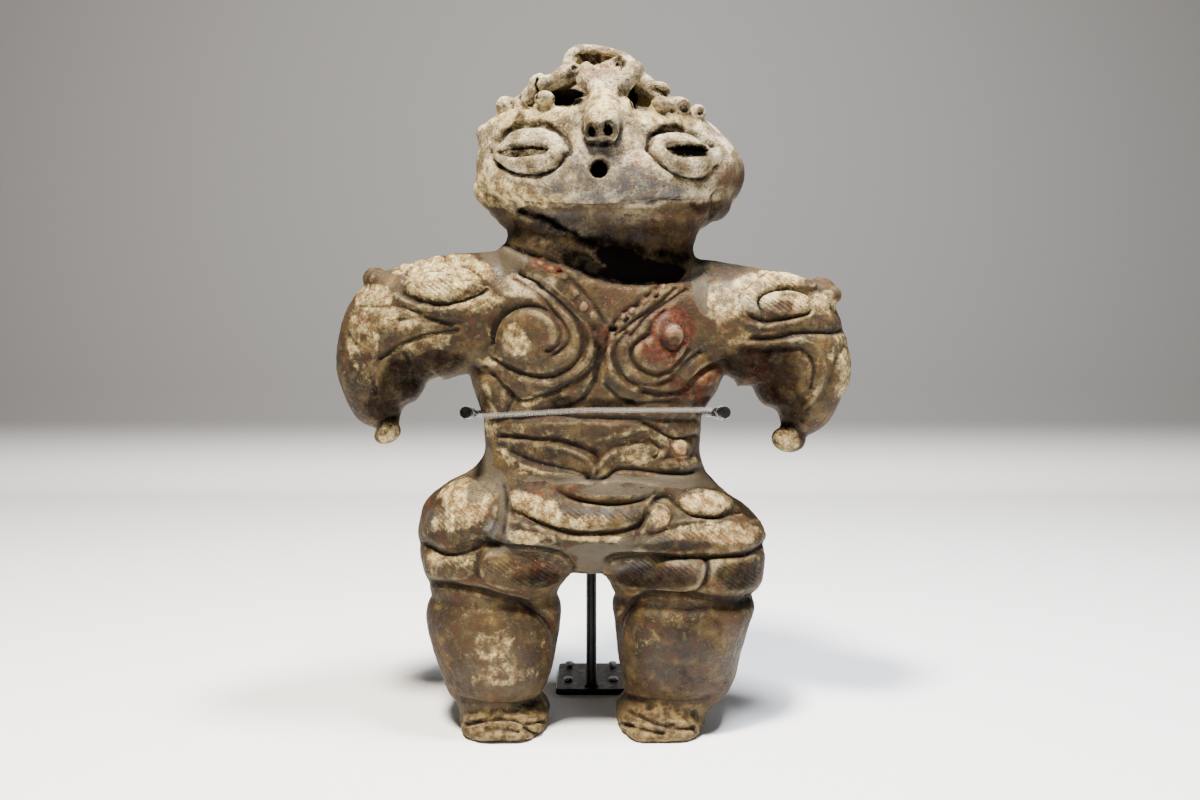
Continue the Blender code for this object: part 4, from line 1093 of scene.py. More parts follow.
    def collar_bands(self) -> None:
        """Two bands with rows of pellets that meet below the neck."""
        c = self.carving
        c.groove(1.7, 1.5, ((50, 230.4), (38.5, 222.3), (31.5, 217.6), (25.5, 211.5), (20.5, 206)),
                 ((44.5, 231), (35.5, 223.2), (26.5, 216.8), (17.5, 210.3), (12.5, 206.6)),
                 ((40, 234.8), (31, 228.2), (22, 221.7), (14.5, 216.2), (10.5, 211)),
                 ((38.5, 218.5), (33.5, 213.5), (30.5, 208.5)))
        c.groove(1.7, 1.1, ((-34.5, 249), (-19, 241.6), (-8.5, 231.8), (1.5, 220.5), (6.6, 212.4)),
                 ((-40, 239), (-26.5, 233.6), (-15.5, 225.6), (-6.8, 217), (0.8, 209)))
        pellets = ((-27.5, 245.2, 2.4), (-21.6, 241.6, 2.4), (-14.6, 236.8, 2), (-5, 221, 2.4),
                   (0.2, 215.8, 2.2), (-9.5, 228.5, 1.8), (15.8, 216.4, 2), (21, 219.4, 2),
                   (27, 224.6, 2), (32.6, 228.8, 1.8), (37.8, 232.6, 1.8))
        for u, w, radius in pellets:
            c.dome((u, w), (radius, radius), 0, 1.4)
        for u, w in ((24, 221.2), (33.8, 226.4), (18.2, 214.2), (-17.8, 239.4)):
            c.hole((u, w), (1.5, 1), 35, 1.6)
        c.hole((11.2, 209.8), (2.2, 1.5), -8, 3)

    def flanks(self) -> None:
        """The panels below the arms and the edge of the belt."""
        c = self.carving
        c.panel(((-62, 186.5), (-57, 188.5), (-50.5, 181.5), (-45.5, 172.5), (-48.5, 164.5), (-58, 163.5),
                 (-62, 174)), 0.8, 2, 0.5)
        c.panel(((53.5, 181.5), (61, 187.5), (70, 188.5), (66, 178), (58.5, 168), (51, 172.5)), 0.6, 2, 0.4)
        c.groove(1.8, 1.3, ((-55, 160.5), (-49.5, 161.3), (-31.5, 162.7), (-17, 163.2), (-2, 162.2),
                            (15, 162.2), (26.5, 161.7), (40, 160.7), (55, 161.2)))

    def waist_wings(self) -> None:
        """The band above the belly, whose two halves meet in a V."""
        c = self.carving
        c.panel(((-52, 158.5), (-30, 160), (0, 160), (24, 159), (30, 156.5), (20, 153.5), (8, 151), (-2, 146),
                 (-12, 150), (-30, 152.5), (-50, 153.5)), 1, 2, 0.4)
        c.groove(1.8, 1.7, ((-49, 152.8), (-33.5, 151.8), (-20, 150.8), (-8.5, 148.3), (-0.5, 144.6)))
        c.ridge(2.2, 1.2, ((-49.5, 150.3), (-39, 149.2), (-26.5, 147.6), (-14.5, 145.2), (-6.5, 142),
                           (-1.6, 138.4), (1, 133.5)))
        c.groove(1.8, 1.4,
                 ((-43.5, 143.8), (-36, 140.5), (-28, 138), (-19, 135.8), (-10.5, 134.2), (-2, 131.4)))
        c.ridge(2.6, 1.3, ((-49.5, 145.6), (-43, 140.8), (-36, 136.2), (-27, 132.6), (-16, 131.2)))
        c.ridge(2.4, 1.3, ((2.8, 135), (7.8, 141), (15, 145), (23.5, 147), (29.5, 146.2), (36.5, 143.2)))
        c.groove(1.6, 1.2, ((0.8, 144), (3, 138.5), (2.4, 132)))
        c.groove(2, 2.1, ((-3, 129.8), (2.5, 128.4), (8, 130.4), (13, 134.2), (20.5, 134.9), (28.5, 134.3),
                            (37, 132.8), (48.5, 132.8), (54, 133.3)))
        c.ridge(2.3, 1.5, ((2, 149.4), (10.5, 151.4), (19, 154.3), (26.5, 156.8), (32.5, 154.8),
                           (37.8, 150.2), (39.6, 145.5), (37.2, 141.6)))
        c.groove(1.7, 1.8, ((28, 158.8), (34.2, 156), (40.6, 152.4), (47.5, 150.7), (55, 152.3)))
        c.groove(1.5, 1.2, ((30.5, 150.8), (34.5, 147.6), (35.4, 143.8), (33.5, 141.2)))
        c.dome((46.6, 145.2), (6, 5.4), 0, 2.2)
        c.pad((49.5, 138.2), (6, 2.6), 0, 1.2, 2)
        c.pad((40.5, 136.8), (3.4, 2), 0, 1, 1.6)

    def belly(self) -> None:
        """Two crescents, one above the other, and the smooth filler at the waist."""
        c = self.carving
        c.panel(((-42, 124.5), (-20, 123), (-12, 119), (0, 116), (14, 115), (26, 118), (33, 123), (34, 112),
                 (28, 107.5), (16, 102.5), (0, 101), (-14, 102.5), (-26, 106.5), (-38, 111.5), (-44, 117)),
                1.1, 2.2, 0.9)
        c.pad((10, 123.4), (22, 4.4), 0, 1.5, 2.4)
        c.groove(2, 1.9, ((-17.5, 122), (-12, 119.4), (-4, 117.2), (7, 115.8), (19, 116.3), (28, 118.6),
                            (33, 121.6)))
        c.groove(2.2, 2, ((-43, 112.4), (-35, 109.2), (-28, 105.8), (-20, 102.9), (-10.5, 100.7),
                            (2, 100), (15, 101.4), (24.5, 104.9), (30, 110.4)))
        c.ridge(2.6, 1.1, ((-30, 103.4), (-20, 99.8), (-9, 97.2), (3, 96.4), (16, 97.6), (27, 101)))
        c.panel(((-46, 110.5), (-40, 107.5), (-31, 103.5), (-24, 100.5), (-19, 96.5), (-22, 93.8),
                 (-34, 94.2), (-45, 96.5)), 1.2, 2, 0.5)
        c.groove(2.4, 1.2, ((-47.5, 126), (-46.5, 116), (-47, 105), (-49, 96)))

    def hips(self) -> None:
        """Rough pads on both hips."""
        c = self.carving
        c.panel(((-66, 130), (-58.5, 124.5), (-51.5, 117.5), (-50, 109.5), (-54, 101), (-61, 97), (-70, 93.5),
                 (-79, 91.5), (-88, 96.5), (-91, 106.5), (-88.5, 117.5), (-80, 126.5)), 1.4, 2.4, 1.4)
        c.groove(2.4, 2, ((-90, 94.5), (-83, 90.2), (-76, 88.8), (-66, 90.6), (-58.5, 95.6), (-52, 93.6)))
        c.panel(((45, 118), (50, 122), (59, 123.2), (70, 120.4), (74.5, 115.6), (68, 110.8), (57, 110.4),
                 (49, 113.4)), 1.9, 2, 0.7)
        c.panel(((28.6, 112), (35, 116), (41, 112.6), (41.5, 107), (35, 101.8), (28, 102.6)), 1.6, 2, 0.5)
        c.groove(2.2, 1.9, ((24, 99.5), (27.5, 108), (33, 117), (40, 120), (47, 115), (55, 109.8), (67, 109),
                            (79, 112.5), (86, 110)))
        c.ridge(2.6, 1.2, ((40, 104.5), (54, 107), (66.5, 106), (78.5, 105), (89, 106.5)))
        c.panel(((22, 90.5), (34, 99.5), (48, 103.5), (66, 103.5), (84, 103), (93.5, 99), (93, 92),
                 (84, 89.8), (60, 89), (36, 89)), 1, 2.2, 0.8)

    def thighs(self) -> None:
        """The bands of cord-marked clay round both thighs."""
        c = self.carving
        c.groove(2.2, 2.3, ((8, 84.5), (14, 87.6), (29.5, 88.2), (46.5, 87.4), (61.5, 87.2), (75.5, 88),
                            (85, 90.2), (93, 95)))
        c.panel(((5.5, 79), (8, 84), (15, 86), (31.5, 86), (45.5, 86), (58, 85.6), (60.4, 79.5), (58.6, 73.5),
                 (54.5, 69.2), (45.5, 68.5), (33.5, 69.2), (20, 70.4), (10.5, 74)), 1.2, 2, 1)
        c.groove(1.9, 1.6, ((60.8, 87), (62.6, 81), (60.4, 73.6), (56, 68.2), (48, 66.4)))
        c.panel(((64, 85), (78, 85.6), (91.5, 90), (93, 82), (90, 73.5), (83, 69), (70, 66.8), (62.5, 69)),
                0.6, 2.4, 0.6)
        c.groove(2, 1.8, ((-56, 94.2), (-46.5, 92.8), (-34.5, 92.2), (-21, 90.2), (-14, 86.4), (-10, 80.5)))
        c.panel(((-53, 90.5), (-42.5, 88.5), (-28.5, 86.5), (-18.5, 83.5), (-17.5, 76), (-24.5, 71),
                 (-38.5, 69), (-51.5, 71), (-60, 76), (-59, 86)), 1, 2.2, 0.9)
        c.panel(((-90, 90), (-82, 86.5), (-70, 87.5), (-62, 86), (-64, 77.5), (-74, 74.5), (-88, 77)), 0.8,
                2.2, 0.8)
        c.groove(2, 1.2, ((-60.5, 90.5), (-62.5, 83), (-62, 76)))

    def legs(self) -> None:
        """The upper rims of the barrel-shaped calves, and the ankles."""
        c = self.carving
        c.groove(2.6, 2.9, ((-90, 73.6), (-79, 71.8), (-66, 69.7), (-55, 67), (-44, 64), (-33, 60.8),
                            (-24.5, 55), (-19.5, 46.5), (-18, 40)))
        c.groove(2.6, 2.9, ((11, 44), (13.5, 52.5), (17.5, 59.6), (23, 64.4), (30, 67), (43, 66.8),
                            (56, 65.4), (69, 63.4), (79.5, 63.6), (91, 67.2)))
        c.groove(2.2, 1.5, ((-72, 10), (-60.8, 7.4), (-50, 6.2), (-39.2, 6.8), (-27.5, 9.2)),
                 ((15.1, 12.2), (24, 9.6), (34.5, 9), (45, 7.6), (57.3, 8.4), (63.2, 11)))
        c.groove(1.6, 1.9, ((19, 4.5), (27, 0.5), (36, -3.4), (46, -5.6), (56, -5.8)),
                 ((14, -3.4), (26, -6.6), (38, -9.4)),
                 ((-70, -3.5), (-58, -1.2), (-46, -0.4), (-36, -3), (-26, -2.6)),
                 ((-36, -6), (-31, -9.5), (-30, -12)), ((-58, -7), (-48, -6.4), (-40, -8.8)))

    def left_arm(self) -> None:
        """A scalloped pad on the shoulder and the lines that flow down the horn of the arm."""
        c = self.carving
        c.panel(((-98, 233.5), (-93.5, 237), (-85, 238.6), (-76, 237.6), (-68, 235), (-60.5, 233),
                 (-58.5, 231), (-63, 228.8), (-71, 226.4), (-81, 224.9), (-89.5, 226.7), (-96.5, 229.6)), 1.9,
                2.2, 1)
        c.groove(2, 1.7, ((-100, 228.6), (-97, 226.9), (-90.5, 224.2), (-81, 222.5), (-71, 224.1),
                            (-61.5, 227.6), (-56, 230.2)))
        c.ridge(2.4, 1.1, ((-104.5, 227.4), (-97.7, 223.3), (-90.2, 220.6), (-80, 219.2), (-69, 220.4),
                           (-59.5, 224.2), (-54.8, 229)))
        c.groove(1.8, 1.1, ((-76, 244.6), (-67.5, 243), (-60.5, 239), (-57.4, 233.5)),
                 ((-106.5, 243), (-101.5, 241), (-97.5, 237.5)))
        for u, w in ((-101, 246), (-92, 247.6), (-82.5, 247.8), (-73, 246.6)):
            c.dome((u, w), (4.6, 4), 0, 1.6)
        c.dome((-112, 234.6), (6.4, 5.8), 0, 1.4)
        c.groove(2.2, 1.3, ((-104, 222), (-95.5, 219.4), (-87, 215.8), (-78.5, 213.2), (-71, 212.8)),
                 ((-103, 214), (-94.5, 215.4), (-85.5, 213.8), (-75, 211.4)),
                 ((-124, 222), (-116.5, 221.6), (-109, 221.8)))
        c.groove(2.4, 1.8,
                 ((-113, 193.5), (-108, 197.2), (-101, 201.2), (-94, 204.4), (-84, 207.2), (-72, 208.4)))
        c.groove(2.4, 1.2, ((-130, 206), (-124, 197), (-119, 186), (-116, 174)), ((-100, 196), (-96, 189),
                                                                                 (-95, 182)))
        c.groove(1.8, 1.6, ((-116, 156.6), (-111.5, 159.4), (-106, 161.8), (-101, 161.6), (-97.5, 158.4)))

    def right_arm(self) -> None:
        """A band that curls round a cord-marked lens, and the lines of the horn."""
        c = self.carving
        c.panel(((118, 233), (112, 235.6), (105.5, 237.6), (94, 238.6), (88.5, 235.4), (83.5, 231),
                 (79.5, 227.4), (79.6, 223), (83.4, 219), (87.5, 216.8), (90, 218.2), (87.6, 221.6),
                 (87.6, 226), (91.8, 229.2), (98, 231.2), (105.5, 231.9), (112.5, 230.5), (117, 230.4)), 1.7,
                1.8, 0.4)
        c.groove(1.8, 1.8, ((89.6, 218.6), (88.2, 223), (89.6, 227.2), (94.4, 230), (101.5, 231),
                            (109, 230.2), (116, 227.6)))
        c.pad((102.4, 222.9), (11.6, 5.4), 0, 1.3, 2.2)
        c.groove(1.9, 1.7, ((84.5, 216.4), (90.8, 213.4), (98, 214.2), (106.4, 215.8), (114.5, 217.6)))
        c.ridge(2.2, 1.1,
                ((77, 215.8), (82.5, 212.2), (91.5, 210.6), (101.6, 212.2), (110, 214.4), (117, 217.6)))
        c.groove(2.4, 2, ((86, 204.4), (92, 204.2), (99, 205), (106, 207), (113.3, 207.9), (121.8, 208.2),
                            (128.5, 207.7), (135, 208.8)))
        c.ridge(2.4, 1.3, ((83, 201.6), (94.7, 201.6), (103.3, 202.3), (110.8, 203.3), (116.6, 200.8),
                           (120.8, 196), (123.2, 190), (121.9, 182.4), (118.3, 173.4), (112.8, 168)))
        c.groove(2.2, 1.3, ((84, 197.6), (95, 198), (104, 198.8), (111, 199), (116.4, 194), (118.4, 187),
                            (116, 178)))
        c.groove(2, 1.1, ((134.5, 200), (130, 192), (127.5, 184), (124, 175)))
        c.dome((124.2, 225.2), (5, 5), 0, 1.6)
        c.groove(1.8, 1.5, ((94, 157.2), (101.5, 159.2), (107, 157.6), (113.4, 153)))


class BackCarver:
    """Plainer carving on the back, in keeping with the front."""

    def __init__(self, carving: Carving):
        """Keep the carving that the method works on."""
        self.carving = carving

    @staticmethod
    def half(sign: int, *spots: Pair) -> Stroke:
        """A stroke on one half of the back."""
        return tuple((sign * u, w) for u, w in spots)

    def work(self) -> None:
        """Carve both halves of the back, which mirror each other, and the lines that cross it."""
        c = self.carving
        for sign in (-1, 1):
            c.pad((sign * 92, 230), (20, 8), sign * -8, 1.8, 3)
            c.groove(2.6, 1.6, self.half(sign, (60, 212), (84, 213), (106, 205), (118, 188)),
                     self.half(sign, (8, 216), (22, 228), (42, 226), (52, 208), (42, 190), (22, 188),
                               (8, 202)),
                     self.half(sign, (18, 208), (26, 217), (38, 216), (42, 207), (36, 198), (26, 197)),
                     self.half(sign, (14, 96), (34, 90), (60, 88), (92, 91)))
            c.ridge(3, 1.2, self.half(sign, (6, 222), (22, 233), (46, 231), (58, 210), (46, 184), (22, 181),
                                        (6, 194)))
            c.pad((sign * 58, 112), (22, 9), sign * 6, 1.8, 4)
            c.groove(3, 2.4, self.half(sign, (14, 58), (28, 66), (54, 68), (90, 69)))
            c.groove(2.2, 1.4, self.half(sign, (20, 112), (34, 122), (58, 125), (80, 118)))
        c.groove(2.2, 1.4, ((-60, 157), (0, 159), (60, 157)), ((-60, 134), (0, 131), (60, 134)))
        c.groove(2.8, 1.5, ((-46, 246), (0, 238), (52, 246)), ((-60, 286), (4, 276), (76, 286)),
                 ((-34, 306), (4, 316), (44, 306), (4, 294), (-34, 306)))


class Pigment(Enum):
    """What colours the clay, one value for each point of the skin."""

    RED = "red_pigment"
    # Worn skin, and painted highlight on the brow and nose top
    CREAM = "cream_wear_and_highlight"
    ASH = "ash_grey"
    # Near-black: painted shade in hollows and under overhangs, and darker clay
    SOOT_AND_SHADE = "soot_and_shade"
    PLASTER = "plaster"
    SLATE = "slate_grey"
    OCHRE = "ochre_break"
    CORD = "cord_marks"
    POLISH = "polish"
    RIDGES = "ridges"
    # How deep a place lies in a broad hollow, for painted shade
    HOLLOW_SHADE = "hollow_shade"


class Colouring:
    """Amounts of each pigment on the skin, laid on as patches and stains."""

    def __init__(self, drawing: Drawing):
        """Start with bare clay."""
        self.drawing = drawing
        self.amounts = {pigment: np.zeros(len(drawing.u)) for pigment in Pigment}

    def lay(self, pigment: Pigment, amount: Array, chosen: Array | slice = slice(None)) -> None:
        """Raise a pigment to an amount where there is less of it, on all points or on some."""
        self.amounts[pigment][chosen] = np.maximum(self.amounts[pigment][chosen], amount)

    def stain(self, pigment: Pigment, width: float, amount: float, *strokes: Stroke) -> None:
        """Run pigment along strokes.

        Args:
            pigment: What is laid on.
            width: Half the width of the stain.
            amount: How much lies on the stroke.
            strokes: The strokes that it follows.
        """
        for stroke in strokes:
            chosen, distance = self.drawing.stroke_distance(stroke, width)
            self.lay(pigment, amount * fade(distance, width) * self.drawing.facing[chosen], chosen)

    def patch(self, pigment: Pigment, amount: float, *ovals: tuple) -> None:
        """Lay on ovals of pigment.

        Args:
            pigment: What is laid on.
            amount: How much of it.
            ovals: Rows of u, w, half width, half height and, if wanted, a turn.
        """
        for oval in ovals:
            turn = oval[4] if len(oval) > 4 else 0.0
            distance = self.drawing.oval_distance(oval[:2], oval[2:4], turn)
            edge = max(2.0, 0.45 * min(oval[2:4]))
            self.lay(pigment, amount * fade(distance + edge / 2, edge) * self.drawing.facing)


class FrontPainter:
    """Where the front shows red, cream and painted highlight, ash, dark patches and painted shade, plaster
    and cord marks.
    """

    def __init__(self, colouring: Colouring):
        """Keep the colouring that the methods work on."""
        self.colouring = colouring

    def work(self) -> None:
        """Lay on everything."""
        for step in (self.red, self.pale, self.dark, self.repairs, self.marks):
            step()

    def red(self) -> None:
        """Red pigment that stayed in the grooves and in protected places."""
        c = self.colouring
        c.stain(Pigment.RED, 3, 0.8,
                ((-42, 236), (-30, 228), (-22, 219.5), (-16.5, 212.5), (-14, 205), (-20, 197)),
                ((49, 230), (38.5, 222.5), (31.5, 218), (25, 211.5), (18.5, 206)),
                ((38.5, 218.5), (32.5, 212.5), (29, 206)), ((40, 234.5), (31, 228), (22, 221.5), (14.5, 216)),
                ((70, 190), (60, 185), (54, 178), (44, 173), (36, 174)))
        c.stain(Pigment.RED, 2.6, 0.6, ((-31.5, 162.5), (0, 162), (26.5, 158.5), (40, 154)),
                ((-8, 147), (0, 144), (3, 136)), ((2.5, 140), (15, 148), (30, 149)),
                ((-16, 121), (6.5, 116), (24, 118)), ((-40, 119), (-24, 121), (-12, 119)),
                ((8, 131), (26, 134), (40, 131)), ((-44, 113), (-34, 110), (-26, 106)))
        c.patch(Pigment.RED, 1, (42, 209, 13, 13, 20), (61, 184, 9, 5, 45), (36, 198, 12, 6, -20),
                (-27, 244.5, 6, 3, -30), (-19, 240, 4, 3), (6, 205, 3, 6), (52, 176, 14, 4, -30))
        c.patch(Pigment.RED, 0.6, (44, 80, 13, 5, 8), (-33, 80, 11, 5, 15), (56, 97, 16, 3),
                (80, 101, 8, 9), (36, 109, 5, 5), (-26, 123, 16, 3), (44, 143, 8, 6), (-62, 110, 7, 3, 20),
                (-90, 117, 5, 5), (104, 221, 10, 4), (86, 188, 8, 16))
        c.patch(Pigment.RED, 0.5, (36, 196, 14, 16), (8, 196, 5, 14), (-22, 200, 6, 8, 40))
        c.patch(Pigment.RED, 0.42, (40, 262, 26, 8), (38, 180, 24, 8), (36, 14, 24, 9), (62, 272, 12, 7),
                (96, 180, 14, 14), (4, 344, 13, 5), (52, 61, 24, 5), (-34, 152, 20, 5), (-22, 38, 8, 22),
                (-52, 10, 10, 6), (4, 226, 24, 8), (74, 208, 8, 12), (-66, 208, 8, 12), (70, 291, 8, 10),
                (28, 298, 7, 12, -30), (3, 350, 10, 3), (22, 262, 26, 7), (44, 256, 14, 8), (58, 116, 12, 4),
                (34, 289, 9, 4, -40), (16, 158, 22, 3), (16, 50, 6, 22), (70, 54, 10, 14))

    def pale(self) -> None:
        """Cream where the surface is worn away and as painted highlight on the brow and nose top, ash grey on
        the face, ochre on the broken feet.
        """
        c = self.colouring
        # The last three ovals, on the brow and the top of the nose, are painted highlight where the head
        # faces the light from above; the rest is wear
        c.patch(Pigment.CREAM, 1, (-78, 240, 26, 9), (-82, 232, 18, 7), (-66, 119, 15, 9, 18),
                (-72, 124, 12, 5, 25), (-32, 114, 16, 7, -20), (-36, 98, 11, 4), (-108, 154, 8, 6),
                (98, 236, 16, 5), (60, 116.5, 15, 6), (-42, 280.5, 21, 5, -14), (-58, 286, 5, 8, 10),
                (-30, 323, 26, 6, 12), (30, 323, 28, 6, -10), (5, 327, 9, 10))
        c.patch(Pigment.CREAM, 0.8, (-41.5, 204.5, 7, 8), (-10, 107, 18, 4), (60, 118, 13, 4.5),
                (80, 100, 11, 6), (36, 109, 5, 6), (103, 151, 9, 7), (0, 97.5, 26, 2.2), (-33, 171, 6, 3),
                (2, 131, 7, 1.6), (47, 146, 4, 4), (-58, 281, 9, 8, -22), (-72, 108, 16, 7, 18),
                (-116, 226, 10, 8), (118, 222, 12, 7))
        c.patch(Pigment.CREAM, 0.6, (-122, 202, 9, 20), (-104, 214, 16, 8), (-54, 193, 9, 3, 12),
                (-52, 38, 11, 8, 40), (-48, 24, 11, 7), (-52, 292, 5, 8, 20), (25, 143, 15, 5),
                (-34, 134, 14, 2.6, -20), (38, 152, 10, 4), (-84, 84, 7, 8), (-70, 86, 9, 6),
                (-46, 141, 8, 3, -30), (132, 190, 6, 18), (-98, 197, 9, 5), (-84, 202, 9, 5),
                (-57, 174, 4, 8), (98, 226, 14, 4), (-40, 277, 24, 4), (-70, 224, 24, 6), (70, 222, 14, 10),
                (-54, 160, 4, 10), (52, 138, 6, 3), (76, 206, 8, 5))
        c.patch(Pigment.CREAM, 0.75, (64, 100, 27, 6), (-40, 202, 6, 8), (-62, 226, 12, 7), (88, 232, 16, 8),
                (-24, 279, 16, 3, -4))
        c.patch(Pigment.CREAM, 0.4, (-30, 150, 22, 8), (24, 150, 22, 8), (-122, 190, 8, 16),
                (-52, 32, 18, 18))
        c.patch(Pigment.CREAM, 0.24, (-60, 46, 20, 18), (-34, 30, 14, 20), (40, 48, 26, 16),
                (112, 186, 16, 20), (-34, 182, 20, 8), (34, 184, 20, 8), (-60, 212, 12, 14),
                (74, 204, 12, 14), (0, 176, 20, 8), (78, 78, 10, 8), (-36, 80, 16, 6), (0, 186, 12, 16))
        c.patch(Pigment.ASH, 1, (5, 304, 74, 27), (5, 336, 60, 22), (0, 325, 66, 20))
        c.patch(Pigment.ASH, 0.6, (5, 281, 70, 8), (-35, 232, 16, 7), (84, 228, 16, 10), (66, 224, 9, 10))
        c.patch(Pigment.ASH, 0.32, (-22, 267, 26, 6, -18), (14, 268, 30, 5), (-40, 200, 8, 6))
        c.patch(Pigment.ASH, 0.2, (-24, 252, 18, 6, -26))
        c.patch(Pigment.OCHRE, 1, (-47, -4, 27, 10), (38, -4, 27, 12))
        c.patch(Pigment.OCHRE, 0.4, (-44.4, 322, 8, 6), (-30, 329, 9, 6), (-24, 320, 6, 3), (34, 326, 14, 6),
                (48, 320, 12, 5), (-9, 348, 4, 7), (3, 354.5, 12, 2.4), (-3, 329, 5, 4), (18, 336, 5, 6))

    def dark(self) -> None:
        """Painted shade on the neck, in holes, eye slits and crown hollows, under the jaw, nose and arms;
        darker clay elsewhere.
        """
        c = self.colouring
        # Painted shade on the neck under the jaw and the chest's top edge, and inside the mouth and nostril
        # holes
        c.patch(Pigment.SOOT_AND_SHADE, 1, (23, 240, 19, 7), (14, 246, 14, 6, -20), (38, 238.5, 13, 5, 6),
                (3.6, 294.4, 4.6, 5), (0, 313.8, 2.2, 2.8), (8, 314.4, 2.2, 2.8))
        # Painted shade over the rest of the neck and along its scored line
        c.patch(Pigment.SOOT_AND_SHADE, 0.7, (-6, 244.5, 15, 5.4, -24), (38, 246, 14, 6), (12, 252, 24, 5, -12))
        c.patch(Pigment.SOOT_AND_SHADE, 0.42, (8, 256, 50, 12, -6), (-28, 254, 18, 9, -20))
        c.stain(Pigment.SOOT_AND_SHADE, 4, 0.8, ((-38, 271), (-26, 267), (-15.4, 263), (-5.7, 257.3), (4, 253.3),
                                          (14.7, 249.3), (27, 245.3)))
        c.stain(Pigment.SOOT_AND_SHADE, 2.6, 0.6, ((-41, 268), (-40, 262), (-40.5, 255)))
        # Painted shadow in the grooves over the eyes
        c.stain(Pigment.SOOT_AND_SHADE, 4, 0.5,
                ((-50, 308.5), (-44.5, 314), (-36, 317.4), (-26.5, 317.4), (-18.5, 314.4)),
                ((30, 306), (31.5, 312), (38, 315.2), (48, 314.4), (56.5, 311), (63.5, 305.8)))
        # Painted shadow under the jaw's edge
        c.stain(Pigment.SOOT_AND_SHADE, 3, 0.55, ((66.5, 276), (64, 270), (61, 264)),
                ((16, 276), (34, 277.2), (52, 277.4)))
        # Painted shadow over the eyes and under the upper lids inside the slits
        c.stain(Pigment.SOOT_AND_SHADE, 3.8, 0.66,
                ((-48, 310), (-42.5, 315), (-35, 317.6), (-26.5, 317.6), (-19.5, 315)),
                ((31, 309), (33.5, 313), (39, 315.4), (48, 314.6), (56, 311.4)))
        c.stain(Pigment.SOOT_AND_SHADE, 1.8, 0.8, ((-43.5, 305), (-34, 305.6), (-26, 304.6)),
                ((40, 305.2), (47, 305.6), (55, 304.9), (60, 304)))
        # Painted shade in the crown's hollows and under its roll, in the eye slits, under the nose and round
        # the nostrils
        c.patch(Pigment.SOOT_AND_SHADE, 0.95, (-13, 330.5, 8, 5), (21.5, 330, 2.5, 6), (50.5, 302.6, 11, 3, -3))
        c.patch(Pigment.SOOT_AND_SHADE, 0.6, (3.8, 308, 10.5, 3.6), (-0.5, 313.6, 4.4, 4.6), (8.2, 314, 4.4, 4.6),
                (16.5, 335.5, 3.4, 6, -28), (14.5, 349, 4, 3), (-11, 343, 3, 3), (4.2, 311.4, 9.5, 6.4),
                (-39, 319.5, 3, 5, -30), (-35, 302.6, 11.5, 2.6))
        # Painted shade along the grooves below the eyes and beside them, and in a groove of the crown
        c.stain(Pigment.SOOT_AND_SHADE, 3.2, 0.42, ((-53.5, 303), (-52.5, 299), (-48.5, 294.8), (-42, 291.6),
                                          (-33.5, 290.6), (-24.5, 291.8), (-18.5, 295), (-15, 301)),
                ((30, 304), (35.5, 297.4), (44, 291.4), (53.5, 288.2), (61, 289.2), (65.8, 295.5)),
                ((-14.5, 309), (-12, 303), (-15, 297)), ((-31, 326), (-24, 325), (-18, 324)))
        c.stain(Pigment.SOOT_AND_SHADE, 1.6, 0.8, ((-28.4, 341), (-29.4, 337.5), (-28, 334), (-29.5, 330.5)))
        # Painted shade under the nose, at the jaw and neck, in the eye slits and crown; darker clay on the
        # thighs and chest
        c.patch(Pigment.SOOT_AND_SHADE, 0.5, (4, 311.6, 11, 7), (60, 273, 10, 4), (-20, 249, 13, 4, -26),
                (-31, 303, 9, 2.4), (49, 303, 10.5, 2.4, -4), (34, 76, 22, 7), (78, 77, 13, 8),
                (-30, 76, 14, 5), (44, 93, 26, 3), (2, 206, 7, 7), (43.5, 202.6, 4.6, 3.4), (27, 329, 5, 6))
        # Darker clay here and there, with painted shade in the dish on top and on the neck
        c.patch(Pigment.SOOT_AND_SHADE, 0.24, (3, 350, 9, 2.4), (-6, 228, 20, 9, -35), (0, 186, 10, 14),
                (-30, 145, 20, 6), (60, 26, 18, 20), (30, 44, 10, 14), (20, 252, 32, 6), (-66, 24, 12, 16))
        c.patch(Pigment.SOOT_AND_SHADE, 0.38, (40, 24, 26, 18), (12, 262, 44, 6), (58, 44, 14, 14), (46, 178, 16, 5))
        # Painted shade on the undersides of the arms and below the chest
        c.patch(Pigment.SOOT_AND_SHADE, 0.52, (-98, 180, 16, 18), (98, 184, 14, 20), (-108, 168, 14, 11),
                (106, 166, 11, 10), (-84, 192, 18, 7), (0, 170, 26, 4), (84, 192, 18, 9), (60, 168, 8, 6),
                (-60, 168, 6, 8))

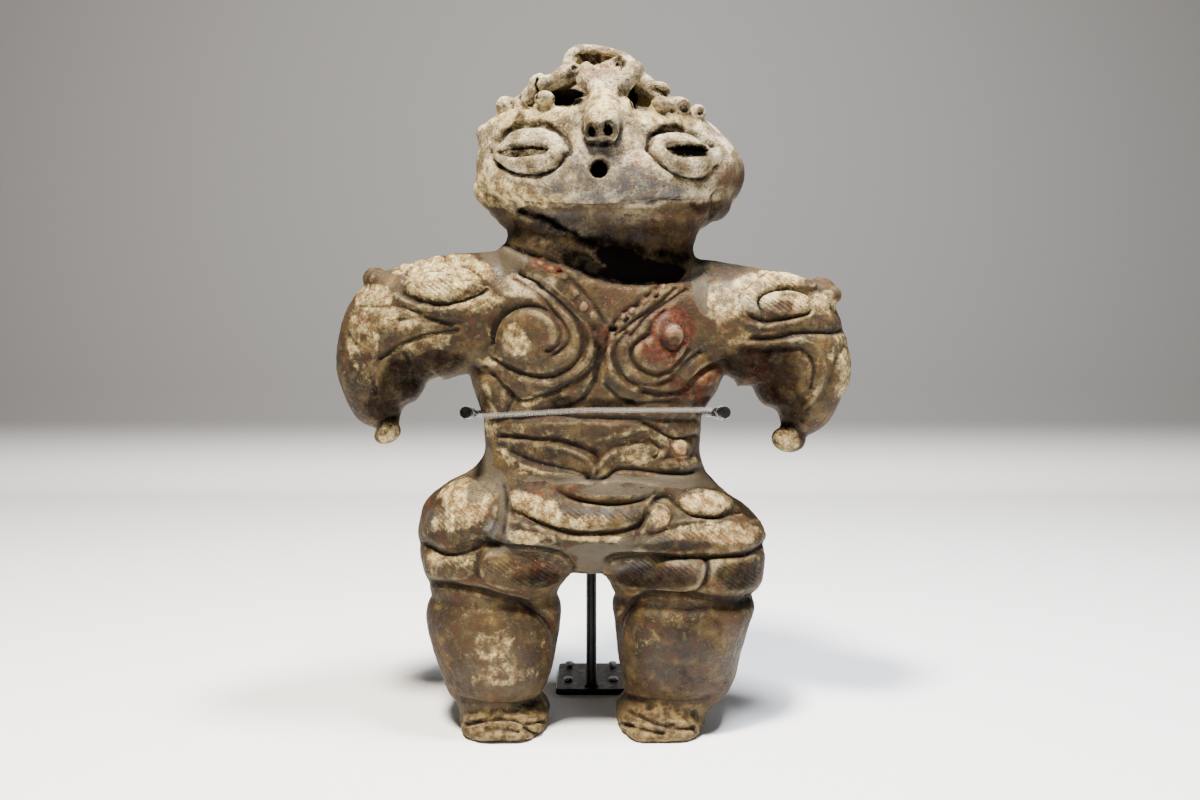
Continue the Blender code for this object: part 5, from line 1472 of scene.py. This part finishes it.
    def repairs(self) -> None:
        """Smooth grey plaster where the figure was mended, and blue-grey smears."""
        c = self.colouring
        c.patch(Pigment.PLASTER, 1, (-45, 245, 11, 8, 15), (-52, 249, 8, 5), (57, 230, 4.5, 14, 6),
                (0, 129.6, 46, 2.6), (-56, 130, 12, 8, -30), (-47, 114, 3.6, 16), (8, 90.5, 22, 4.4),
                (0, 84, 9, 6), (-36, 91.5, 20, 2.4), (44, 127.5, 26, 3.6, -4), (30, 122, 10, 3, 24),
                (58, 131, 10, 5, -30), (-58, 140, 5, 7))
        c.patch(Pigment.PLASTER, 0.7, (28, 96, 16, 4), (10, 123.4, 20, 4), (-62, 122, 6, 8))
        c.patch(Pigment.SLATE, 0.9, (-48, 98, 8, 5, -20), (-52, 103, 5, 5))
        c.patch(Pigment.SLATE, 0.75, (18, 280, 34, 5), (0, 298, 12, 10), (40, 206, 6, 6))
        c.patch(Pigment.SLATE, 0.85, (22, 287, 20, 8, -10), (0, 283, 22, 7), (32, 281, 18, 5))
        c.patch(Pigment.SLATE, 0.5, (0, 287, 30, 9), (0, 263, 34, 6, -10), (0, 111, 20, 3.4),
                (40, 82, 30, 5), (44, 95, 22, 3.4), (-2, 264, 30, 5), (-78, 107, 12, 7), (8, 318, 5, 9))
        c.patch(Pigment.SLATE, 0.3, (48, 30, 20, 14))

    def marks(self) -> None:
        """Cord marks pressed into the pads, and places rubbed smooth."""
        c = self.colouring
        c.patch(Pigment.CORD, 1, (33, 78, 25, 7.5), (-38, 79, 19, 7.5), (78, 78, 13, 9),
                (102.6, 222.7, 11.5, 5), (-78, 231.5, 17, 4.6), (86, 228, 5, 7), (98, 234.6, 12, 3))
        c.patch(Pigment.CORD, 0.6, (62, 97, 28, 5), (60, 116.5, 13, 4.6), (-2, 108, 24, 5), (-74, 83, 14, 6),
                (36, 108, 5, 5), (-70, 108, 16, 10))
        c.patch(Pigment.POLISH, 1, (50, 36, 32, 27), (-50, 24, 22, 20), (7, 328, 7, 14), (20, 292, 26, 10),
                (-45, 240, 14, 9), (80, 226, 16, 12))
        c.patch(Pigment.POLISH, 0.6, (0, 190, 60, 40), (0, 150, 54, 14), (8, 92, 24, 6))


@dataclass(frozen=True)
class FiredClay:
    """Low-fired clay, burnished by hand and worn: matt, sandy, blotched, with red pigment in its grooves.

    Colours come first, then the widths of its patterns in millimetres.
    """

    deep_brown: str = "#1e160a"
    brown: str = "#382b15"
    tan: str = "#594723"
    russet: str = "#39200f"
    khaki: str = "#443b24"
    # Dirt and painted shade in the grooves, and the colour of dark specks
    groove_dirt_and_shade: str = "#120b06"
    # Crests lightened by wear and by a painted highlight
    crest_wear_and_highlight: str = "#a3916a"
    red: str = "#5c2409"
    red_dark: str = "#2e1206"
    cream: str = "#d8c48c"
    cream_dark: str = "#6f5530"
    rust: str = "#7a4322"
    ash: str = "#bcae8e"
    ash_dark: str = "#66583f"
    rose: str = "#9a745c"
    # Near-black for painted shade and dark patches
    soot_and_shade: str = "#040303"
    plaster: str = "#40392c"
    slate: str = "#46484a"
    ochre: str = "#6f5d38"
    ochre_dark: str = "#3a2c17"
    grain: str = "#b8a985"
    firing_cloud: float = 34.0
    hand_blotch: float = 9.0
    wear_edge: float = 7.0
    hue_patch: float = 6.0
    grit: float = 2.0
    crust_grit: float = 1.3
    sand: float = 0.75
    cord_spacing: float = 1.974
    cord_slope: float = -38.0

    def material(self) -> bpy.types.Material:
        """The clay's material.

        The eye sees a brown ground that changes over about 20 mm, a gritty grey crust on the head, red and
        cream with torn edges, dirt and painted shade in every groove, crests lightened by wear and a painted
        highlight, painted shade in broad hollows, pale grains of temper and near-black patches.

        Returns:
            The material.
        """
        p = Painter("fired clay")
        ash, stained = p.attribute(Pigment.ASH.value), p.attribute(Pigment.RED.value)
        blotch, grit = p.noise(self.hand_blotch, 4.0, 0.6), p.noise(self.grit, 4.0, 0.65)
        patchy, sandy = p.noise(self.wear_edge, 6.0, 0.72), p.noise(self.sand, 3.0, 0.7)

        # Bare clay
        ground = p.mix(p.ramp(p.noise(self.firing_cloud, 3.0), 0.35, 0.68), self.deep_brown, self.brown)
        ground = p.mix(p.ramp(blotch, 0.46, 0.72, 0.0, 0.75), ground, self.tan)
        hue = p.noise(self.hue_patch, 5.0, 0.68, 0.5)
        ground = p.mix(p.ramp(hue, 0.5, 0.62, 0.0, 0.7), ground, self.russet)
        ground = p.mix(p.ramp(hue, 0.48, 0.36, 0.0, 0.7), ground, self.khaki)

        # Grey crust, rosy where red pigment shows through it
        mottled = p.math("ADD", blotch, p.math("MULTIPLY", grit, 0.35))
        crust = p.mix(p.ramp(mottled, 0.57, 0.82), self.ash_dark, self.ash)
        crust = p.mix(p.math("MULTIPLY", stained, p.ramp(patchy, 0.4, 0.6, 0.2, 1.0)), crust, self.rose)
        dark_grit = p.math("MULTIPLY", p.ramp(p.noise(self.crust_grit, 4.0, 0.75), 0.47, 0.6, 0.0, 0.8),
                           p.ramp(patchy, 0.36, 0.58, 0.25, 1.0))
        crust = p.mix(dark_grit, crust, self.brown)
        ground = p.mix(p.ramp(ash, 0.1, 0.85), ground, crust)
        slate = p.math("MULTIPLY", p.attribute(Pigment.SLATE.value), p.ramp(patchy, 0.36, 0.6))
        ground = p.mix(slate, ground, self.slate)

        # Red pigment
        red_share = self.ragged(p, Pigment.RED, patchy, 1.9, 0.3, 1.0)
        red_share = p.math("MULTIPLY", red_share, p.ramp(grit, 0.3, 0.6, 0.35, 0.95))
        red_share = p.math("MULTIPLY", red_share, p.ramp(ash, 0.2, 0.9, 1.0, 0.25))
        ground = p.mix(red_share, ground, p.mix(p.ramp(grit, 0.4, 0.65), self.red_dark, self.red))

        # Worn skin, rusty where it was red
        cream_share = self.ragged(p, Pigment.CREAM, patchy, 2.6, 0.32, 1.1)
        cream = p.mix(p.ramp(p.noise(4.5, 5.0, 0.7), 0.36, 0.66), self.cream_dark, self.cream)
        cream = p.mix(p.math("MULTIPLY", stained, p.ramp(patchy, 0.38, 0.6, 0.1, 0.75)), cream, self.rust)
        ground = p.mix(p.math("MULTIPLY", cream_share, p.ramp(sandy, 0.32, 0.52, 0.35, 0.97)), ground, cream)

        # Broken edges and mended places
        broken = p.mix(p.ramp(p.noise(4.0, 4.0, 0.6), 0.42, 0.62), self.ochre_dark, self.ochre)
        ground = p.mix(p.math("MULTIPLY", p.attribute(Pigment.OCHRE.value), 0.9), ground, broken)
        plaster_share = self.ragged(p, Pigment.PLASTER, blotch, 0.6, 0.4, 0.75)
        ground = p.mix(p.math("MULTIPLY", plaster_share, 0.9), ground, self.plaster)

        # Crests lightened by wear and a painted highlight, painted shade in broad hollows, dirt and painted
        # shade in the grooves
        cavity = p.attribute(Pigment.RIDGES.value)
        crest = p.math("MULTIPLY", p.ramp(cavity, 0.2, 0.9), p.ramp(patchy, 0.42, 0.62, 0.05, 0.9))
        ground = p.mix(p.math("MULTIPLY", crest, 0.4), ground, self.crest_wear_and_highlight)
        hollow_shade_share = p.math("MULTIPLY", p.ramp(p.attribute(Pigment.HOLLOW_SHADE.value), -0.04, -0.7),
                           p.ramp(patchy, 0.3, 0.6, 0.3, 0.8))
        ground = p.mix(hollow_shade_share, ground, self.deep_brown)
        hollow = p.math("MULTIPLY", p.ramp(cavity, -0.15, -1.0), p.ramp(patchy, 0.34, 0.6, 0.42, 0.93))
        hollow = p.math("MULTIPLY", hollow, p.ramp(stained, 0.15, 0.75, 1.0, 0.55))
        ground = p.mix(hollow, ground, self.groove_dirt_and_shade)

        # Grains of temper, dark specks, and the near-black patches, much of which are painted shade
        grains = p.math("MULTIPLY", p.ramp(p.cells(2.2), 0.15, 0.06),
                        p.ramp(p.noise(7.0, 2.0), 0.5, 0.62, 0.0, 0.5))
        ground = p.mix(grains, ground, self.grain)
        specks = p.math("MULTIPLY", p.ramp(p.cells(1.1), 0.26, 0.12),
                        p.ramp(p.noise(4.0), 0.4, 0.58, 0.1, 0.85))
        ground = p.mix(specks, ground, self.groove_dirt_and_shade)
        soot_and_shade_share = self.ragged(p, Pigment.SOOT_AND_SHADE, patchy, 1.0, 0.12, 0.82)
        p.into("Base Color", p.mix(soot_and_shade_share, ground, self.soot_and_shade))

        # Burnished places shine a little; the near-black patches and painted shade don't
        burnish = p.math("MULTIPLY", p.attribute(Pigment.POLISH.value), 0.24)
        p.into("Roughness", p.math("SUBTRACT", p.ramp(grit, 0.3, 0.7, 0.6, 0.84), burnish))
        p.into("Specular IOR Level", p.math("MULTIPLY", p.math("SUBTRACT", 1.0, soot_and_shade_share), 0.2))
        crusty = p.math("MAXIMUM", cream_share, p.math("MULTIPLY", ash, 0.75))
        p.into("Normal", self.relief(p, crusty, plaster_share, sandy))
        return p.material

    def ragged(self, p: Painter, pigment: Pigment, noise: Socket, strength: float, low: float,
               high: float) -> Socket:
        """A pigment's share with an edge torn by noise.

        Args:
            p: The painter of the clay.
            pigment: The pigment.
            noise: Noise about 0.5.
            strength: How far the noise moves the edge.
            low: The sum of amount and noise at which the pigment starts.
            high: The sum at which it is full.

        Returns:
            The share, from 0 to 1.
        """
        torn = p.math("MULTIPLY", p.math("SUBTRACT", noise, 0.5), strength)
        return p.ramp(p.math("ADD", p.attribute(pigment.value), torn), low, high)

    def relief(self, p: Painter, crusty: Socket, plaster_share: Socket, sandy: Socket) -> Socket:
        """Sand, lumps, pits and cord marks, too fine for the mesh.

        Args:
            p: The painter of the clay.
            crusty: Where the skin is worn off or crusted.
            plaster_share: Where smooth plaster fills it.
            sandy: Noise as fine as sand.

        Returns:
            The shading normal.
        """
        still = p.ramp(plaster_share, 0.2, 0.9, 1.0, 0.25)
        rough = p.ramp(crusty, 0.2, 0.8, 0.3, 1.0)
        pits = p.math("MULTIPLY", p.ramp(p.cells(1.25), 0.42, 0.15), rough)
        slope = {"Rotation": (0.0, math.radians(self.cord_slope), 0.0)}
        turned = add_node(p.tree, "ShaderNodeMapping", slope, {"Vector": p.place}).outputs["Vector"]
        bands = {"wave_type": "BANDS", "bands_direction": "Z", "Distortion": 2.2, "Detail": 2.0,
                 "Detail Scale": 2.0, "Scale": math.tau / (WAVE_RADIANS * self.cord_spacing * MM)}
        wave = add_node(p.tree, "ShaderNodeTexWave", bands, {"Vector": turned}).outputs["Fac"]
        normal = p.bump(p.math("MULTIPLY", p.math("MULTIPLY", sandy, rough), still), 0.6)
        normal = p.bump(p.math("MULTIPLY", p.noise(1.7, 4.0, 0.6), still), 0.55, 0.8, normal)
        normal = p.bump(p.math("MULTIPLY", pits, -1.0), 0.45, 1.0, normal)
        return p.bump(p.math("MULTIPLY", wave, p.attribute(Pigment.CORD.value)), 0.5, 0.8, normal)


@dataclass
class ClayFigurine:
    """The hollow clay figurine: built up from rounded masses, carved, worn, and then coloured."""

    masses: ClayMasses = field(default_factory=ClayMasses)
    finish: FiredClay = field(default_factory=FiredClay)
    voxel: float = 0.92
    smoothing: int = 12
    most_triangles: int = 196000
    jaw_height: float = 268.0
    brow_height: float = 312.0
    # The inside of the head, which is painted dark as shade: its middle and half sizes seen from above, its
    # floor and its roof
    bowl_middle: Pair = (3.0, 4.0)
    bowl_half_sizes: Pair = (38.0, 24.0)
    bowl_floor: float = 304.0
    bowl_roof: float = 338.0
    # How far apart the waves of the fingers, the grit, the pits and the steps of broken clay lie
    finger_wave: float = 15.0
    grit_wave: float = 2.9
    pit_spacing: float = 2.3
    break_step: float = 7.0

    def rough_skin(self) -> Skin:
        """All masses joined into one skin, its seams smoothed away."""
        points, quads, fans = join_grids(self.masses.grids())
        rough = in_scene("rough_clay", mesh_from("rough_clay", points, quads.tolist() + fans.tolist()))
        join = rough.modifiers.new("Join", "REMESH")
        join.mode = "VOXEL"
        join.voxel_size = self.voxel
        skin = Skin(evaluated_mesh(rough))
        skin.points = skin.relaxed(skin.points, self.smoothing)
        return skin

    def carve(self, skin: Skin) -> None:
        """Carve the front and the back."""
        for side, carver in ((Side.FRONT, FrontCarver), (Side.BACK, BackCarver)):
            normals = skin.normals()
            carving = Carving(Drawing(skin.points, normals, side))
            carver(carving).work()
            skin.points = carving.apply(skin.points, normals)

    def wear(self, skin: Skin, amounts: dict[Pigment, Array]) -> None:
        """Roughen the skin: waves left by the fingers, grit, and pits where the surface is worn off.

        Args:
            skin: The carved skin, whose points are moved.
            amounts: Amounts of each pigment at each point.
        """
        points = skin.points
        broken, crust = amounts[Pigment.OCHRE], amounts[Pigment.ASH]
        worn = np.clip(amounts[Pigment.CREAM] + 0.8 * broken + 0.6 * crust, 0.0, 1.0)
        smooth = 1.0 - 0.75 * amounts[Pigment.PLASTER]
        height = 0.42 * layered_noise(points, self.finger_wave, 21, 2)
        height += (0.2 + 0.26 * worn) * smooth * layered_noise(points, self.grit_wave, 31, 2)
        pits = np.clip(1.0 - nearest_spot(points, self.pit_spacing, 41) / 0.45, 0.0, 1.0)
        pitted = np.clip(lattice_noise(points, 13.0, 51) * 2.0 + 0.8 * worn, 0.0, 1.0)
        height -= (0.2 + 0.22 * worn) * smooth * pits * pitted
        steps = layered_noise(points * np.array((0.6, 1.0, 1.6)), self.break_step, 61, 2)
        height += broken * (1.5 * steps - 0.6)
        skin.points = points + skin.normals() * height[:, None]
        skin.points[:, 2] = np.maximum(skin.points[:, 2], 0.0)

    def colour(self, skin: Skin) -> dict[Pigment, Array]:
        """Lay on the pigments: the front as drawn, crown and bowl by their place, with painted shade in the
        roofed bowl, the rest by noise.

        Args:
            skin: The carved skin.

        Returns:
            Amounts of each pigment at each point.
        """
        drawing = Drawing(skin.points, skin.normals(), Side.FRONT, wander=1.3, wander_size=6.0)
        colouring = Colouring(drawing)
        FrontPainter(colouring).work()
        across, deep, high = skin.points.T
        hidden = 1.0 - drawing.facing
        head = np.clip((high - self.jaw_height) / 10.0, 0.0, 1.0)
        crown = np.clip((high - self.brow_height) / 6.0, 0.0, 1.0)
        colouring.lay(Pigment.CREAM, hidden * np.clip(0.25 + layered_noise(skin.points, 26.0, 71), 0.0, 0.8))
        colouring.lay(Pigment.ASH, np.maximum(hidden * head * 0.9, crown))
        colouring.lay(Pigment.RED, hidden * np.clip(layered_noise(skin.points, 30.0, 81) - 0.1, 0.0, 0.5))
        colouring.lay(Pigment.OCHRE, np.clip((5.0 - high) / 4.0, 0.0, 1.0))
        # Painted shade inside the head's roofed bowl
        inside = np.hypot((across - self.bowl_middle[0]) / self.bowl_half_sizes[0],
                          (deep - self.bowl_middle[1]) / self.bowl_half_sizes[1])
        roofed = np.clip((self.bowl_roof - high) / 5.0, 0.0, 1.0) * (high > self.bowl_floor)
        colouring.lay(Pigment.SOOT_AND_SHADE, 0.9 * fade(inside - 0.75, 0.25) * roofed)
        return colouring.amounts

    def ridges(self, skin: Skin, rounds: int, full: float) -> Array:
        """How far each point stands out of its surroundings.

        Args:
            skin: The skin.
            rounds: How often the surroundings are smoothed; more takes in a wider stretch.
            full: The height in millimetres that counts as 1.

        Returns:
            Values from -1 in hollows to 1 on crests.
        """
        lifted = np.einsum("ij,ij->i", skin.points - skin.relaxed(skin.points, rounds), skin.normals())
        return np.clip(lifted / full, -1.0, 1.0)

    def build(self) -> None:
        """Make the figurine."""
        skin = self.rough_skin()
        LOG.info("rough clay: %d points", len(skin.points))
        self.carve(skin)
        amounts = self.colour(skin)
        self.wear(skin, amounts)
        amounts[Pigment.RIDGES] = self.ridges(skin, 9, 0.42)
        # Broad hollows, which get painted shade
        amounts[Pigment.HOLLOW_SHADE] = self.ridges(skin, 80, 2.6)
        skin.write()
        for pigment, values in amounts.items():
            layer = skin.mesh.attributes.new(pigment.value, "FLOAT", "POINT")
            layer.data.foreach_set("value", values.astype(np.float32))
        whole = in_scene("whole_clay", skin.mesh)
        thin = whole.modifiers.new("Thin", "DECIMATE")
        thin.ratio = min(1.0, self.most_triangles / (2 * len(skin.mesh.polygons)))
        thin.use_collapse_triangulate = True
        final = evaluated_mesh(whole)
        final.name = "clay_figure"
        move_points(final, to_metres(mesh_points(final)))
        LOG.info("finished clay: %d faces", len(final.polygons))
        make_piece(final, self.finish.material(), "fired_clay", "figure")


# The stand


@dataclass(frozen=True)
class StandPaint:
    """Stove enamel on steel, sprayed: a brown-black satin coat, cloudy, with faint orange peel."""

    name: str = "stove enamel"
    body: str = "#080605"
    rubbed: str = "#15100e"
    roughness: float = 0.3

    def material(self) -> bpy.types.Material:
        """The paint's material: the eye sees soft highlights that break up slightly."""
        p = Painter(self.name)
        cloud = p.noise(14.0, 4.0)
        p.into("Base Color", p.mix(p.ramp(cloud, 0.45, 0.75, 0.0, 0.6), self.body, self.rubbed))
        p.into("Roughness", p.ramp(p.noise(5.0, 4.0), 0.3, 0.7, self.roughness - 0.06, self.roughness + 0.14))
        p.set(Specular_IOR_Level=0.16)
        p.into("Normal", p.bump(p.noise(1.1, 2.0), 0.05, 0.6))
        return p.material


@dataclass(frozen=True)
class SoftSleeve:
    """Heat-shrunk polyolefin sleeve, moulded: matt black with fine lengthwise wrinkles."""

    body: str = "#020203"
    dusty: str = "#080808"

    def material(self) -> bpy.types.Material:
        """The sleeve's material: near black, with dust caught in its wrinkles."""
        p = Painter("shrink sleeve")
        p.into("Base Color", p.mix(p.ramp(p.noise(2.0, 4.0), 0.5, 0.75, 0.0, 0.5), self.body, self.dusty))
        p.into("Roughness", p.ramp(p.noise(3.0), 0.3, 0.7, 0.26, 0.42))
        p.set(Specular_IOR_Level=0.3)
        p.into("Normal", p.bump(p.noise(0.8, 2.0), 0.12, 0.7))
        return p.material


@dataclass(frozen=True)
class ClearPlastic:
    """Clear soft vinyl or nylon, extruded: see-through and glossy, with hazy streaks along its length that
    are partly painted highlights.
    """

    name: str
    tint: str
    alpha: float
    roughness: float
    ior: float = 1.3

    def material(self) -> bpy.types.Material:
        """The plastic's material: its long highlights are partly painted, as paler, less clear streaks along
        its length.
        """
        p = Painter(self.name)
        along = add_node(p.tree, "ShaderNodeMapping", {"Scale": (0.04, 1.0, 1.0)},
                         {"Vector": p.place}).outputs["Vector"]
        # Paler, less clear streaks along the length: haze and painted highlight
        haze_and_highlight_streak = p.noise(1.4, place=along)
        p.set(Base_Color=linear(self.tint), IOR=self.ior)
        p.into("Alpha", p.ramp(haze_and_highlight_streak, 0.34, 0.66, self.alpha * 0.55, self.alpha * 1.45))
        p.into("Roughness", p.ramp(p.noise(6.0), 0.3, 0.7, self.roughness, self.roughness + 0.08))
        return p.material


@dataclass(frozen=True)
class ScrewSteel:
    """Nickel-plated steel, cold headed: grey metal with fine scratches."""

    body: str = "#a7a49c"
    dull: str = "#6d6a63"

    def material(self) -> bpy.types.Material:
        """The screws' material."""
        p = Painter("plated steel")
        p.set(Metallic=1.0)
        p.into("Base Color", p.mix(p.ramp(p.noise(1.2, 4.0), 0.4, 0.7), self.body, self.dull))
        p.into("Roughness", p.ramp(p.noise(0.7, 3.0), 0.3, 0.7, 0.26, 0.5))
        return p.material


@dataclass
class DisplayStand:
    """The plate, the rod and the bar that hold the figurine from behind."""

    paint: StandPaint = field(default_factory=StandPaint)

    def build(self) -> None:
        """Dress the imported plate, rod and bar."""
        material = self.paint.material()
        for name in ("stand_plate", "stand_rod", "stand_fork"):
            dress_node(name, material)


@dataclass
class WaistHolder:
    """The sleeves on the bar's ends, the clear tube and the line through it."""

    sleeve: SoftSleeve = field(default_factory=SoftSleeve)
    tube: ClearPlastic = ClearPlastic("clear vinyl", "#96918b", 0.11, 0.1)
    line: ClearPlastic = ClearPlastic("nylon line", "#8f918f", 0.12, 0.12)

    def build(self) -> None:
        """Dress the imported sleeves, tube and line."""
        rubber = self.sleeve.material()
        for name, material in (("left_sleeve", rubber), ("right_sleeve", rubber),
                               ("clear_tube", self.tube.material()), ("nylon_line", self.line.material())):
            dress_node(name, material)


@dataclass
class PlateScrews:
    """The four screws in the plate."""

    steel: ScrewSteel = field(default_factory=ScrewSteel)
    count: int = 4

    def build(self) -> None:
        """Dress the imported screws."""
        material = self.steel.material()
        for number in range(1, self.count + 1):
            dress_node("plate_screw_%d" % number, material)


def dress_node(name: str, material: bpy.types.Material) -> None:
    """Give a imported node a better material."""
    node = bpy.data.objects[name]
    for slot in node.material_slots:
        slot.material = material
    LOG.info("%s is dressed in %s", name, material.name)


# The studio


@dataclass(frozen=True)
class SoftLight:
    """A square soft light: its place in millimetres, its side in millimetres, its watts and its colour."""

    name: str
    place: Place
    size: float
    power: float
    colour: str

    def build(self, aim: Place) -> None:
        """Hang the light and turn it to a place in millimetres."""
        data = bpy.data.lights.new(self.name, "AREA")
        data.size = self.size * MM
        data.energy = self.power
        data.color = linear(self.colour)[:3]
        lamp = in_scene(self.name, data)
        lamp.location = to_metres(self.place)
        direction = Vector((to_metres(aim) - to_metres(self.place)).tolist())
        lamp.rotation_euler = direction.to_track_quat("-Z", "Y").to_euler()


@dataclass
class Studio:
    """A pale floor, a soft grey backdrop, soft lights and the camera."""

    floor_colour: str = "#f0f1f3"
    backdrop_colour: str = "#6a6a6a"
    sky_colour: str = "#c3c8cf"
    sky_strength: float = 0.07
    floor_reach: float = 2600.0
    backdrop_depth: float = 1000.0
    backdrop_height: float = 1500.0
    sweep: float = 150.0
    grey_from: float = 100.0
    eye: Place = (4.0, -532.0, 195.4)
    pitch: float = 2.57
    lens: float = 30.0
    sensor: float = 36.0
    lit_place: Place = (0.0, 0.0, 190.0)
    lights: tuple[SoftLight, ...] = (
        SoftLight("key", (-210.0, -400.0, 1200.0), 170.0, 60.0, "#fff3e2"),
        SoftLight("fill", (700.0, -900.0, 420.0), 500.0, 2.0, "#eef3ff"),
        SoftLight("top", (280.0, -140.0, 1150.0), 220.0, 34.0, "#f4f8ff"),
    )

    def backdrop(self) -> None:
        """A floor that sweeps up into a wall: a profile of floor, quarter circle and wall carried along X."""
        angle = np.linspace(0.0, math.pi / 2, 16)
        start = self.backdrop_depth - self.sweep
        y = np.concatenate(((-self.floor_reach,), start + self.sweep * np.sin(angle), (self.backdrop_depth,)))
        z = np.concatenate(((0.0,), self.sweep * (1 - np.cos(angle)), (self.backdrop_height,)))
        x = np.array((-self.floor_reach, self.floor_reach))
        grid = np.stack((np.broadcast_to(x[:, None], (2, len(y))), np.broadcast_to(y, (2, len(y))),
                         np.broadcast_to(z, (2, len(y)))), axis=-1)
        index = np.arange(2 * len(y)).reshape(2, -1)
        quads = np.stack((index[0, :-1], index[1, :-1], index[1, 1:], index[0, 1:]), axis=-1)
        mesh = mesh_from("studio_sweep", to_metres(grid.reshape(-1, 3)), quads.tolist())
        mesh.shade_smooth()
        mesh.materials.append(self.paper())
        in_scene("studio_sweep", mesh)

    def paper(self) -> bpy.types.Material:
        """Matt background paper: pale on the floor, grey above it."""
        p = Painter("background paper")
        height = add_node(p.tree, "ShaderNodeSeparateXYZ", links={"Vector": p.place}).outputs["Z"]
        share = p.ramp(height, 0.0, self.grey_from * MM)
        p.into("Base Color", p.mix(share, self.floor_colour, self.backdrop_colour))
        p.set(Roughness=0.9, Specular_IOR_Level=0.2)
        return p.material

    def camera(self) -> None:
        """The camera at the photograph's place."""
        data = bpy.data.cameras.new("camera")
        data.lens = self.lens
        data.sensor_width = self.sensor
        data.clip_start = 0.01
        camera = in_scene("camera", data)
        camera.location = to_metres(self.eye)
        camera.rotation_euler = (math.radians(90.0 - self.pitch), 0.0, 0.0)
        bpy.context.scene.camera = camera

    def build(self) -> None:
        """Set up everything round the object."""
        self.backdrop()
        for light in self.lights:
            light.build(self.lit_place)
        world = bpy.data.worlds.new("studio")
        world.use_nodes = True
        sky = world.node_tree.nodes["Background"].inputs
        sky["Color"].default_value = linear(self.sky_colour)
        sky["Strength"].default_value = self.sky_strength
        bpy.context.scene.world = world
        self.camera()


def main() -> None:
    """Build the studio, the figurine and the stand in order."""
    logging.basicConfig(level=logging.INFO, format="%(name)s: %(message)s")
    for assembly in (Studio(), ClayFigurine(), DisplayStand(), WaistHolder(), PlateScrews()):
        assembly.build()


if __name__ == "__main__":
    main()
